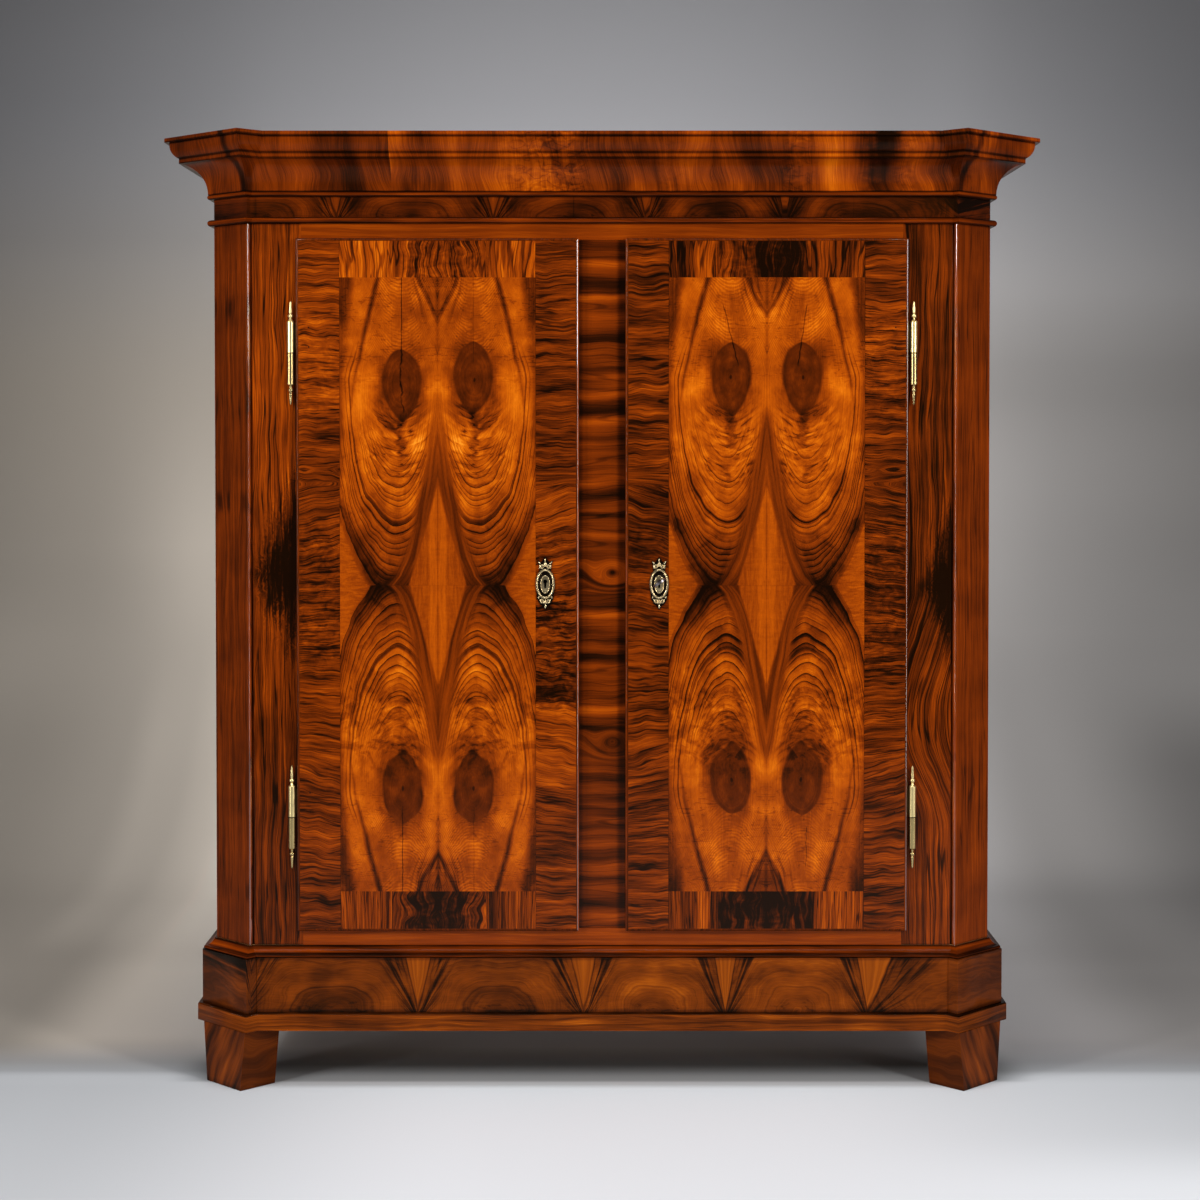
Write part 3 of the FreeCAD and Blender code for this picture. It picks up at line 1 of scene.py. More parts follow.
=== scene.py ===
import bpy
import math
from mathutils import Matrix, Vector


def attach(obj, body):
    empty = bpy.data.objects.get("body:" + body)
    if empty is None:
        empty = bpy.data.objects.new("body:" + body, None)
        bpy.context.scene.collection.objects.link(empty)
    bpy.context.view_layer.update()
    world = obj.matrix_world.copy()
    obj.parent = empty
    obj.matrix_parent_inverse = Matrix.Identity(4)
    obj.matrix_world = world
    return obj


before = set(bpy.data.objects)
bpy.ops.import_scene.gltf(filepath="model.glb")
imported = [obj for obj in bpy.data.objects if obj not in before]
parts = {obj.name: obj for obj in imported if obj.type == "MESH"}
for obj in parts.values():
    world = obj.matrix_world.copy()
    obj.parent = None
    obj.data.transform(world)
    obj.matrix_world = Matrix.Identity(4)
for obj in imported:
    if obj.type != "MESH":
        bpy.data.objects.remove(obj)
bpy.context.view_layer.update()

MM = 1000
BUMP_DISTANCE = 0.0005
HARD_COAT = 2.3

# Places on the wardrobe in millimetres: x from its middle, y from its middle to the back, z from the floor
DOOR_MIDDLE = 352
PANEL_MIDDLE = 1082.75
PANEL_HALF = 658.25
FRAME_FRONT = -186
CORNER_X = 755.5
CORNER_Y = -108
BACK_HALF = 831.5
FACE_Y = -204.3
KEY_X, PLATE_Z = 122, 1086
HINGE_JOINTS = (583, 1580)
HINGE_LEAF_X = 659.5

# Places on a veneer leaf: across from the door's middle line (a), along from the panel's outer edge (b)
KNOT_MIDDLE = 76
KNOT_START, KNOT_LENGTH = 137, 160
LOOP_MIDDLE = 88
LOOP_START, LOOP_LENGTH = 217, 307
LEAF_WIDTH = 209.5


def add_object(name, data):
    """A new object in the scene."""
    item = bpy.data.objects.new(name, data)
    bpy.context.collection.objects.link(item)
    return item


def shade_smooth(mesh):
    """Smooth shading on every face."""
    mesh.polygons.foreach_set("use_smooth", [True] * len(mesh.polygons))


# Shader patterns, written as arithmetic on values
class Value:
    """A number at every point of a surface."""

    def __init__(self, pattern, socket):
        self.pattern = pattern
        self.socket = socket

    def __abs__(self):
        return self.pattern.math("ABSOLUTE", self)


# Each sign of arithmetic between values makes a math node
SIGNS = {"add": "ADD", "sub": "SUBTRACT", "mul": "MULTIPLY", "truediv": "DIVIDE", "pow": "POWER"}
for sign, kind in SIGNS.items():
    setattr(Value, f"__{sign}__", lambda value, other, kind=kind: value.pattern.math(kind, value, other))
    setattr(Value, f"__r{sign}__", lambda value, other, kind=kind: value.pattern.math(kind, other, value))


class Pattern:
    """One material and the nodes that draw it."""

    def __init__(self, name):
        self.material = bpy.data.materials.new(name)
        self.material.use_nodes = True
        self.tree = self.material.node_tree
        self.tree.nodes.clear()
        self.coordinates = self.node("ShaderNodeTexCoord").outputs["Object"]

    def node(self, kind, **settings):
        item = self.tree.nodes.new(kind)
        for name, setting in settings.items():
            setattr(item, name, setting)
        return item

    def link(self, source, socket):
        self.tree.links.new(source, socket)

    def put(self, socket, value):
        if isinstance(value, Value):
            self.link(value.socket, socket)
        else:
            socket.default_value = value

    def math(self, kind, *values, clamp=False):
        item = self.node("ShaderNodeMath", operation=kind, use_clamp=clamp)
        for socket, value in zip(item.inputs, values):
            self.put(socket, value)
        return Value(self, item.outputs[0])

    def position(self):
        """Object coordinates in millimetres."""
        split = self.node("ShaderNodeSeparateXYZ")
        self.link(self.coordinates, split.inputs[0])
        return [Value(self, socket) * MM for socket in split.outputs]

    def noise(self, place, detail=2, roughness=0.5, distortion=0):
        """Smooth noise from 0 to 1, about 0.5, at a place given by three values."""
        vector = self.node("ShaderNodeCombineXYZ")
        for socket, value in zip(vector.inputs, place):
            self.put(socket, value)
        item = self.node("ShaderNodeTexNoise")
        self.link(vector.outputs[0], item.inputs["Vector"])
        settings = {"Scale": 1, "Detail": detail, "Roughness": roughness, "Distortion": distortion}
        for name, setting in settings.items():
            item.inputs[name].default_value = setting
        return Value(self, item.outputs["Fac"])

    def smooth(self, value, low, high):
        """0 below low, 1 above high, and a soft step between; low may lie over high."""
        item = self.node("ShaderNodeMapRange", interpolation_type="SMOOTHSTEP")
        self.put(item.inputs["Value"], value)
        self.put(item.inputs["From Min"], low)
        self.put(item.inputs["From Max"], high)
        return Value(self, item.outputs[0])

    def band(self, value, centre, half, soft):
        """1 within half of the centre, fading over soft on both sides."""
        return self.smooth(abs(value - centre), half + soft, half)

    def ramp(self, share, stops, kind="LINEAR"):
        """A colour read off stops of (share, colour in linear light)."""
        item = self.node("ShaderNodeValToRGB")
        item.color_ramp.interpolation = kind
        self.put(item.inputs[0], share)
        entries = item.color_ramp.elements
        while len(entries) < len(stops):
            entries.new(0.5)
        for entry, (place, colour) in zip(entries, stops):
            entry.position = place
            entry.color = (*colour, 1)
        return Value(self, item.outputs[0])

    def steps(self, value, stops, kind="LINEAR"):
        """A value read off stops of (place, value), from the first place to the last."""
        low = stops[0][0]
        length = stops[-1][0] - low
        share = self.math("DIVIDE", value - low, length, clamp=True)
        return self.ramp(share, [((place - low) / length, (level,) * 3) for place, level in stops], kind)

    def colour(self, tone, stops):
        """A colour read off stops of (tone, colour)."""
        return self.ramp(tone, [(place, linear(tint)) for place, tint in stops])

    def mix(self, share, first, second):
        """Between two colours."""
        item = self.node("ShaderNodeMix", data_type="RGBA")
        for socket, value in zip((item.inputs[0], item.inputs[6], item.inputs[7]),
                                 (share, (*linear(first), 1), (*linear(second), 1))):
            self.put(socket, value)
        return Value(self, item.outputs[2])

    def surface(self, colour, roughness, metallic=0, coat=0, coat_roughness=0.1, coat_ior=1.5,
                specular=0.5, gloss_tint=None, height=None, depth=0.2, one_sided=False):
        """The finish: colour, gloss and fine relief; a one-sided surface is clear seen from behind."""
        shader = self.node("ShaderNodeBsdfPrincipled")
        settings = {"Base Color": colour, "Roughness": roughness, "Metallic": metallic,
                    "Specular IOR Level": specular, "Coat Weight": coat, "Coat Roughness": coat_roughness,
                    "Coat IOR": coat_ior}
        if gloss_tint is not None:
            settings["Specular Tint"] = (*linear(gloss_tint), 1)
        for name, setting in settings.items():
            self.put(shader.inputs[name], setting)
        if height is not None:
            bump = self.node("ShaderNodeBump")
            bump.inputs["Strength"].default_value = depth
            bump.inputs["Distance"].default_value = BUMP_DISTANCE
            self.put(bump.inputs["Height"], height)
            self.link(bump.outputs[0], shader.inputs["Normal"])
        if one_sided:
            front = shader
            shader = self.node("ShaderNodeMixShader")
            self.link(self.node("ShaderNodeNewGeometry").outputs["Backfacing"], shader.inputs[0])
            self.link(front.outputs[0], shader.inputs[1])
            self.link(self.node("ShaderNodeBsdfTransparent").outputs[0], shader.inputs[2])
        output = self.node("ShaderNodeOutputMaterial")
        self.link(shader.outputs[0], output.inputs["Surface"])
        return self.material


def linear(tint):
    """A colour of 0 to 255 as linear light."""
    shares = [level / 255 for level in tint]
    return [share / 12.92 if share <= 0.04045 else ((share + 0.055) / 1.055) ** 2.4 for share in shares]


# Walnut under French polish, from black streaks to amber
WALNUT = [
    (0, (14, 4, 1)),
    (0.14, (44, 14, 2)),
    (0.3, (86, 30, 3)),
    (0.5, (134, 52, 4)),
    (0.68, (178, 78, 5)),
    (0.85, (214, 108, 10)),
    (1, (244, 146, 34)),
]

# The base, browner
BASE_WALNUT = [
    (0, (14, 6, 2)),
    (0.14, (42, 17, 4)),
    (0.3, (78, 32, 6)),
    (0.5, (120, 53, 8)),
    (0.68, (162, 79, 12)),
    (0.85, (198, 109, 22)),
    (1, (230, 148, 46)),
]


def polish(pattern, tone, grain=None, gloss=0.30, shine=1, ramp=WALNUT, coat_ior=1.5):
    """Amber walnut with a polished coat."""
    x, y, z = pattern.position()
    smear = pattern.noise((x / 60, y / 60, z / 90), 2)
    return pattern.surface(
        pattern.colour(tone, ramp),
        smear * 0.12 + gloss,
        coat=shine * 0.16,
        coat_roughness=0.06,
        coat_ior=coat_ior,
        specular=0.14 if isinstance(shine, Value) else 0.14 * shine,
        gloss_tint=(255, 160, 70),
        height=grain,
        depth=0.12,
    )


def blend(share, low, high):
    """From low to high by a share."""
    return low + (high - low) * share


def shaded(level, gain, *shares):
    """A level made lighter or darker where all the shares are 1."""
    share = shares[0]
    for other in shares[1:]:
        share = share * other
    return level * (1 + share * gain)


def oval(x, y, centre, halves):
    """0 at the centre of an oval and 1 on its rim."""
    across = (x - centre[0]) / halves[0]
    along = (y - centre[1]) / halves[1]
    return (across * across + along * along) ** 0.5


def veins(p, place, width, detail=1, distortion=0):
    """Thin lines that wander along the grain."""
    field = p.noise(place, detail, 0.5, distortion)
    return p.smooth(abs(field - 0.5), width, width * 0.2)


def panel_figure():
    """Quarter-matched crotch veneer: knots, nested loops, spire and dark crossings."""
    p = Pattern("crotch_veneer")
    x, y, z = p.position()
    door = abs(x)

    # Straight places on the leaf, and the same ones bent by slow noise
    a0 = abs(door - DOOR_MIDDLE)
    b0 = PANEL_HALF - abs(z - PANEL_MIDDLE)
    side = p.smooth(x, -1, 1)
    outer_leaf = p.smooth(door - DOOR_MIDDLE, -0.5, 0.5)
    lower = p.smooth(z - PANEL_MIDDLE, 0.5, -0.5)
    seed = side * 1.7 + lower * 3.1
    wander = p.noise((a0 / 70, b0 / 130, seed * 0.12), 2)
    ripple = p.noise((a0 / 22, b0 / 22, seed), 2)
    loose = p.noise((door / 60, z / 80, side * 4), 1)
    a = a0 + (wander - 0.5) * 16 * p.smooth(a0, 0, 30) + (ripple - 0.5) * 1.4
    b = b0 + (wander - 0.5) * 22 + (ripple - 0.5) * 1.6 + (loose - 0.5) * 14

    rise = p.math("MAXIMUM", LOOP_START - b, 0) / LOOP_START
    rise = (rise * rise + 0.01) ** 0.5 - 0.1
    width = 99 - rise * 66
    out = (a - LOOP_MIDDLE) / width
    down = p.math("MAXIMUM", b - LOOP_START, 0) / LOOP_LENGTH
    loop = (out * out + down * down) ** 0.5

    # Rings: each darkens slowly and ends sharply
    uneven = p.noise((loop * 4, seed, 0), 1)
    count = loop * 19 + uneven * 5 + (ripple - 0.5) * 0.2
    share = p.math("FRACT", count)
    ring = p.math("FLOOR", count)
    strength = p.noise((ring * 0.73, seed, 3), 0)
    strong = p.smooth(strength, 0.30, 0.62)
    deep = p.smooth(loop, 0.42, 0.72) * p.smooth(b, 250, 400)
    rings = (share ** 8 * 0.50 + share * share * 0.20) * (strong * 0.8 + 0.2) * deep
    turn = p.math("ARCTAN2", down, out)
    fibre = p.noise((loop * 90, turn * 2.2, seed), 3, 0.65, 0.3)
    shimmer = p.noise((a0 / 46, b0 / 64, seed + 11), 3, 0.55)
    streak = p.noise((a / 4, b / 260, seed + 21), 3, 0.6)

    # Shade that falls towards the middle of the door
    base = p.steps(b, [(0, 0.66), (120, 0.70), (300, 0.76), (400, 0.74), (480, 0.68), (560, 0.57),
                       (620, 0.46), (655, 0.38), (670, 0.38)])
    base = base - lower * p.smooth(b, 250, 60) * 0.05
    cloudy = p.noise((a0 / 30, b0 / 30, seed + 31), 2, 0.5, 0.6)
    broad = p.noise((loop * 7, turn * 0.8, seed + 13), 2)
    patches = p.noise((a0 / 75, b0 / 120, seed + 41), 2, 0.5, 0.3)
    base = base - 0.050 + (fibre - 0.5) * 0.38 + (shimmer - 0.5) * 0.54
    base = base + (broad - 0.5) * deep * 0.42 + (patches - 0.5) * 0.40
    base = base - rings - p.smooth(cloudy, 0.56, 0.70) * deep * 0.10
    # Painted sheen: lighter patches where the shimmer noise runs high, away from the panel's middle
    base = base + p.smooth(shimmer, 0.54, 0.74) * p.smooth(b, 560, 440) * 0.05

    # Two fine dark lines that run down the side and round as loops
    loop_line = p.band(loop, 1, 0.006, 0.018) + p.band(loop, 1.085, 0.004, 0.014) * 0.7
    base = base - loop_line * 0.26 * p.smooth(b, 120, 200)

    # Curl: short bright and dark dashes across the grain below the knots
    sag = (abs(a - 80) ** 2) / 110
    curl = p.noise((a0 / 34, (b0 + sag) / 15, seed + 7), 1, 0.5, 0.9)
    dashes = veins(p, (a0 / 60, (b0 + sag) / 13, seed + 8), 0.035, 1, 0.5)
    curly = p.band(b, 355, 40, 80) * p.smooth(abs(a - 84), 90, 30) * (1 - lower * 0.45)
    base = base + (curl - 0.5) * (curly * 0.66 + 0.08) - dashes * curly * p.smooth(curl, 0.60, 0.44) * 0.26
    wrinkle = veins(p, (a0 / 40, b0 / 7, seed + 18), 0.040, 1, 0.3)
    base = base - wrinkle * p.smooth(b, 280, 180) * p.smooth(cloudy, 0.44, 0.56) * 0.13
    arch = p.math("SINE", (b0 + (abs(a0 - 77) ** 2) / 60) * 0.80 + (ripple - 0.5) * 12)
    base = base + arch * p.smooth(b, 210, 130) * 0.07 * p.smooth(shimmer, 0.35, 0.6)

    # Knots
    knot_b = b - lower * (side * 20 + 10) + outer_leaf * (1 - side) * (1 - lower) * -14
    along_knot = p.math("MAXIMUM", knot_b - KNOT_START, 0) / KNOT_LENGTH
    swell = p.math("MAXIMUM", p.math("SINE", along_knot ** 0.84 * math.pi), 0) ** 0.66
    knot_on = p.band(knot_b, KNOT_START + KNOT_LENGTH / 2, KNOT_LENGTH / 2 - 1, 2)
    inside = p.smooth(abs(a - KNOT_MIDDLE) - swell * 43, 4, -4) * knot_on
    halo = oval(a, knot_b, (77, 226), (64, 118))
    smoky_wide = p.noise((a0 / 34, b0 / 50, seed + 51), 2)
    base = base - p.smooth(halo, 1.12, 0.66) * (smoky_wide * 0.30 + 0.06)
    core = oval(a, knot_b, (KNOT_MIDDLE, 212), (42, 80))
    heart = p.noise((core * 12, seed, 1), 3)
    smoky = p.noise((a0 / 22, b0 / 34, seed + 15), 3)
    pith = p.smooth(core, 0.09, 0.03)
    knot_tone = (heart - 0.5) * 0.16 + 0.29 + (smoky - 0.5) * 0.42
    knot_tone = knot_tone - pith * 0.2 - p.smooth(core, 0.72, 1) * 0.05
    base = blend(inside, base, knot_tone)
    smoke = p.band(knot_b, 322, 20, 30) * p.smooth(abs(a - 78) + (curl - 0.5) * 26, 18, 2)
    base = base - smoke * (0.18 - lower * 0.08)
    lean_a = a0 - 74 - (KNOT_START - b0) * (0.25 - outer_leaf * 0.10) + (ripple - 0.5) * 7
    crack = p.smooth(abs(lean_a), 1.5, 0.4) * p.smooth(b0, 52, 66) * p.smooth(b0, 196, 176)
    base = base - crack * side * (1 - lower) * 0.30

    # Side bands from the top edge
    torn = (streak - 0.5) * 9
    top_line = p.steps(b, [(0, 0.508), (127, 0.632), (200, 0.70), (290, 0.744), (330, 0.748)]) * 250
    top_half = p.steps(b, [(0, 0.20), (90, 0.20), (200, 0.08), (330, 0.04)]) * 30
    top_band = p.smooth(abs(a - top_line + torn * 0.3) - top_half, 4, -7)
    top_depth = p.steps(b, [(0, 0.40), (180, 0.36), (330, 0.20), (560, 0)])
    base = base - top_band * top_depth * (streak * 1.1 + 0.50)
    edge_half = p.steps(b, [(0, 1), (90, 0.66), (200, 0.34), (330, 0.22), (520, 0.16)]) * 30
    edge_band = p.smooth(LEAF_WIDTH - a - edge_half + torn, 10, -12)
    edge_depth = p.steps(b, [(0, 0.34), (330, 0.28), (520, 0.16), (560, 0), (640, 0)])
    base = base - edge_band * edge_depth * (streak * 1.3 + 0.35)

    # Brown point at the middle of the top edge
    point_a = a0 + (loose - 0.5) * 10
    point_half = 43 - b * 0.48
    point = p.smooth(point_a - point_half, 3, -5)
    point_edge = p.band(point_a, point_half, 2, 6) * p.smooth(b, 104, 60)
    flare = p.noise(((point_a - 43 + b * 0.30) / 7, b / 160, seed + 61), 3, 0.6, 0.2)
    flared = p.smooth(point_a, 74, 34) * p.smooth(b, 130, 20) * p.smooth(flare, 0.48, 0.62)
    base = base - flared * 0.20
    base = base - point * 0.13 - point_edge * 0.26
    base = base - p.smooth(a0, 7, 0) * p.smooth(b, 300, 60) * 0.14

    # Wedge of brown either side of the spire
    outer = p.steps(b, [(250, 0), (266, 0.01), (340, 0.12), (414, 0.20), (539, 0.37), (600, 0.50),
                        (638, 0.64), (680, 0.92)]) * 150
    inner = p.steps(b, [(420, 0), (439, 0), (539, 0.17), (638, 0.37), (680, 0.45)]) * 150
    frayed = (fibre - 0.5) * 26
    in_wedge = p.smooth(a - outer + frayed, 12, -10) * p.smooth(b, 250, 300)
    lean = p.noise(((a - outer * 0.8) / 4, b / 110, seed), 4, 0.65, 0.2)
    lean_wide = p.noise(((a - outer * 0.8) / 11, b / 200, seed + 4), 1)
    wedge_tone = p.steps(b, [(260, 0.52), (380, 0.42), (480, 0.38), (580, 0.35), (640, 0.33), (680, 0.32)])
    wedge_tone = wedge_tone + (lean - 0.5) * 0.44 + (lean_wide - 0.5) * 0.55
    base = blend(in_wedge, base, wedge_tone)
    in_spire = p.smooth(a - inner + (lean - 0.5) * 8, 3, -3) * p.smooth(b, 436, 450)
    spire_line = p.noise((a / 6, b / 70, seed + 2), 3, 0.6, 0.5)
    spire_cross = p.noise((a / 30, b0 / 9, seed + 6), 3, 0.6, 0.8)
    spire_tone = 0.54 + (spire_line - 0.5) * 0.34 + (spire_cross - 0.5) * 0.14
    spire_tone = spire_tone + p.band(a, 9, 3, 14) * 0.10 - p.smooth(a0, 2, 0.3) * 0.06
    base = blend(in_spire, base, spire_tone)

    # Dark outer loop and the bright triangle outside it
    beside = p.smooth(a - outer, -16, -4)
    dark_loop = p.band(loop, 1.45, 0.02, 0.11) * beside * p.smooth(b, 440, 540)
    base = base - dark_loop * (0.08 + lean * 0.20)
    base = base - p.smooth(b, 610, 664) * p.band(a, 100, 16, 50) * 0.07
    triangle = p.smooth(loop, 1.52, 1.59) * p.smooth(b, 500, 540) * beside
    tri_line = p.noise((a / 24, b / 5, seed), 3, 0.6, 0.6)
    base = blend(triangle, base, 0.51 + (tri_line - 0.5) * 0.44 + p.smooth(a0, 150, 205) * 0.08)

    # Cloud between the lower knots, checks and pores
    cloud = p.noise((a0 / 40, b0 / 40, seed + 5), 4, 0.6, 1)
    clouded = p.band(b, 350, 50, 80) * p.smooth(cloud, 0.46, 0.60) * p.smooth(a0, 26, 52)
    base = base - lower * clouded * 0.15
    check = p.smooth(abs(a0 - 77 + (ripple - 0.5) * 5), 1.2, 0.3) * p.smooth(b0, 190, 150)
    base = base - check * (1 - side) * (outer_leaf * 0.34 + 0.12)
    split = p.smooth(abs(a0 - 86 + (ripple - 0.5) * 9), 1.1, 0.3) * p.band(b0, 96, 40, 5)
    base = base - split * lower * side * outer_leaf * 0.30
    shake = p.smooth(abs(a - KNOT_MIDDLE + (ripple - 0.5) * 16), 2.6, 0.6)
    shake = shake * p.band(b, 218, 66, 10) * p.smooth(ripple, 0.35, 0.5)
    base = base - shake * (1 - side) * (1 - lower) * outer_leaf * 0.22
    pore = p.noise((door / 2.4, z / 9, 0), 2, 0.7)
    leaf_joint = p.smooth(a0, 0.8, 0.2) + p.smooth(abs(z - PANEL_MIDDLE), 0.8, 0.2)
    return polish(p, base + (pore - 0.5) * 0.14 - leaf_joint * 0.05, fibre, 0.26)


# Slope and tone of the borders: by height where they are upright, across the door where they are level
BORDER_SLOPE = [(330, 0.5), (480, 0.46), (700, 0.36), (840, 0.45), (1100, 0.60), (1300, 0.66),
                (1330, 0.5), (1830, 0.5)]
HINGE_SIDE = [(330, 0.50), (430, 0.46), (480, 0.57), (640, 0.50), (700, 0.56), (830, 0.48),
              (1000, 0.44), (1100, 0.40), (1250, 0.46), (1400, 0.50), (1500, 0.54), (1600, 0.64),
              (1700, 0.54), (1830, 0.48)]
LEFT_LOCK_SIDE = [(330, 0.44), (476, 0.48), (478, 0.38), (646, 0.42), (648, 0.58), (832, 0.52),
                  (834, 0.22), (950, 0.28), (1060, 0.36), (1120, 0.40), (1180, 0.50), (1283, 0.56),
                  (1300, 0.40), (1830, 0.42)]
RIGHT_LOCK_SIDE = [(330, 0.44), (600, 0.46), (646, 0.40), (648, 0.46), (800, 0.42), (930, 0.44),
                   (1040, 0.38), (1100, 0.32), (1180, 0.30), (1283, 0.36), (1300, 0.44), (1830, 0.38)]
CROSS_SLOPE = [(140, 0.62), (250, 0.42), (352, 0.5), (450, 0.52), (565, 0.40)]
LEFT_CROSS = [(140, 0.62), (214, 0.62), (232, 0.50), (292, 0.48), (316, 0.42), (384, 0.44), (400, 0.64),
              (426, 0.64), (438, 0.36), (448, 0.38), (460, 0.68), (565, 0.64)]
RIGHT_CROSS = [(140, 0.40), (180, 0.42), (202, 0.62), (306, 0.58), (338, 0.22), (412, 0.24), (444, 0.54),
               (565, 0.52)]


def banding_figure():
    """Cross-grained borders in short lengths, darker at the lock side."""
    p = Pattern("banding")
    x, y, z = p.position()
    door = abs(x)
    side = p.smooth(x, -1, 1)
    lock_side = p.smooth(door, 250, 240)
    upright = p.smooth(abs(door - DOOR_MIDDLE), LEAF_WIDTH - 0.4, LEAF_WIDTH + 0.4)
    seed = side * 2.3 + lock_side * 5

    # Upright borders: grain across, with dark lines
    slope = p.steps(z, BORDER_SLOPE)
    height = z + (door - DOOR_MIDDLE) * (slope - 0.5) * 1.6
    sway = p.noise((door / 50, z / 80, seed), 1)
    height = height + (sway - 0.5) * 20
    line = p.noise((door / 60, height / 1.8, seed), 4, 0.7, 0.1)
    bar = p.noise((door / 160, height / 17, seed + 3), 2, 0.6)
    dark_lines = p.smooth(p.noise((door / 60, height / 3.4, seed + 6), 2, 0.6, 0.1), 0.54, 0.72)
    vein = veins(p, (door / 240, height / 8, seed + 12), 0.050, 0)
    hinge_tone = p.steps(z, HINGE_SIDE)
    lock_tone = blend(side, p.steps(z, LEFT_LOCK_SIDE), p.steps(z, RIGHT_LOCK_SIDE))
    hinge_tone = hinge_tone - side * 0.07 - p.smooth(z, 900, 600) * (1 - side) * 0.07
    lock_tone = lock_tone - 0.07 + p.band(z, 1000, 90, 60) * (1 - side) * 0.09
    tone_up = blend(lock_side, hinge_tone - 0.09, lock_tone)
    busy = (p.band(z, 1060, 110, 90) * 0.6 + p.band(z, 1550, 90, 60) * 0.4) * (1 - lock_side)
    busy = busy + p.band(z, 930, 90, 60) * lock_side * (1 - side) * 0.8
    busy = busy + p.band(z, 1120, 60, 60) * lock_side * 0.4
    burl = p.noise((door / 34, z / 20, seed + 1), 3, 0.55, 1.6)
    tone_up = tone_up + (line - 0.5) * 0.78 + (bar - 0.5) * 0.95 - dark_lines * (busy * 0.40 + 0.20)
    tone_up = tone_up - vein * 0.22 + (burl - 0.5) * busy * 1.1

    # Top and bottom borders: grain upright, in segments
    lean = (z - 1780) * (p.steps(door, CROSS_SLOPE) - 0.5)
    swirl = p.noise((door / 70, z / 50, seed + 8), 1)
    knotty = p.band(door, 345, 60, 50)
    run = door + lean * 1.5 + (swirl - 0.5) * (knotty * 26 + 10)
    upright_line = p.noise((run / 2, z / 90, seed), 4, 0.70, 0.2)
    wide = p.noise((run / 15, z / 260, seed + 4), 2, 0.6, 0.2)
    black = veins(p, (run / 13, z / 150, seed + 14), 0.055, 1, 0.2)
    place = run + (upright_line - 0.5) * 30
    foot_share = p.smooth(z, 1000, 900)
    tone_across = blend(side, p.steps(place, LEFT_CROSS), p.steps(place, RIGHT_CROSS))
    tone_across = tone_across - foot_share * (1 - side) * 0.18 - (1 - foot_share) * side * 0.16
    tone_across = tone_across - knotty * 0.06 - 0.03 + (upright_line - 0.5) * 0.92 + (wide - 0.5) * 0.92
    tone_across = tone_across - black * 0.28 + (burl - 0.5) * knotty * 0.55
    tone = blend(upright, tone_across, tone_up)
    joint = p.band(abs(door - DOOR_MIDDLE), LEAF_WIDTH, 0.3, 0.6)
    tone = tone - joint * 0.2 + 0.02
    return polish(p, tone, line, 0.28)


def upright_figure(name, tone, seed, contrast, dark_z=None, turned=False, falls=None, bare_from=None,
                   rubbed=(), nose=None):
    """Solid walnut or veneer with the grain running up.

    dark_z is the height of a dark flame, falls change the tone by height on the left and the right piece,
    rubbed edges are lighter (a painted highlight with some wear), and the nose lists the edges that carry a
    harder coat.
    """
    p = Pattern(name)
    x, y, z = p.position()
    across = (abs(x) + y * 0.7) if not turned else (y + abs(x) * 0.6)
    side = p.smooth(x, -1, 1) * 3.7 + seed
    right = p.smooth(x, 0, 1)
    sway = p.noise((across / 70, z / 190, side), 2)
    run = across + (sway - 0.5) * 24
    if dark_z is not None:
        fall = p.math("MINIMUM", z - 1060, 0) * p.smooth(z, 560, 860)
        run = run - fall * right * 0.30
    line = p.noise((run / 2, z / 150, side), 4, 0.72, 0.3)
    wide = p.noise((run / 10, z / 400, side + 2), 3, 0.6)
    cross = p.noise((across / 120, z / 90, side + 6), 2)
    pore = p.noise((run / 0.9, z / 18, side), 2, 0.7)
    vein = veins(p, (run / 11, z / 420, side + 9), 0.035, 0)
    level = tone + (line - 0.5) * contrast + (wide - 0.5) * contrast - vein * contrast * 0.30
    level = level + (cross - 0.5) * 0.26 + (pore - 0.5) * 0.12
    if dark_z is not None:
        flame = p.noise((run / 7, z / 90, side + 5), 4, 0.65, 0.8)
        far_left = abs(z - dark_z - 20) / 190 + (abs(x) - 655) / 95
        far_right = abs(z - dark_z + 5) / 170 + (754 - abs(x)) / 62
        far = blend(right, far_left, far_right) + (flame - 0.5) * 0.9
        dark = p.smooth(far, 1.30, 0.40)
        twist = p.noise((across / 26, z / 22, side + 7), 2, 0.55, 0.6)
        curls = p.noise(((run + (twist - 0.5) * 44) / 5, z / 110, side + 8), 3, 0.6, 0.3)
        level = level - dark * 0.48 + (curls - 0.52) * p.smooth(far, 1.6, 0.7) * 1.05
    if falls is not None:
        on_left, on_right = (p.steps(z, [(place, fall + 0.5) for place, fall in stops]) for stops in falls)
        level = level + blend(right, on_left, on_right) - 0.5
    # Painted highlight with some wear: a lighter line along each rubbed edge, on the front face
    for edge, gain in rubbed:
        level = level + p.band(x, edge, 0.8, 1.4) * p.smooth(y, FRAME_FRONT + 3, FRAME_FRONT) * gain
    # Painted shade: darker at the top and bottom ends of the pieces, where they meet the mouldings
    level = level - p.smooth(abs(z - 1081), 770, 777) * 0.10
    if nose is not None:
        near = sum(p.band(x, place, half, 1.2) * weight for place, half, weight in nose)
        return polish(p, level, line, shine=near * 6 + 0.16, coat_ior=HARD_COAT)
    if bare_from is None:
        return polish(p, level, line)
    bare = p.smooth(abs(x), bare_from + 0.5, bare_from - 0.5)
    return polish(p, level - bare * 0.08, line, 0.30 + bare * 0.25)


def run_along(p, x, y):
    """Distance along the front and round the corners, from the middle."""
    past = p.math("MAXIMUM", y - CORNER_Y, 0)
    return x + p.math("SIGN", x) * past


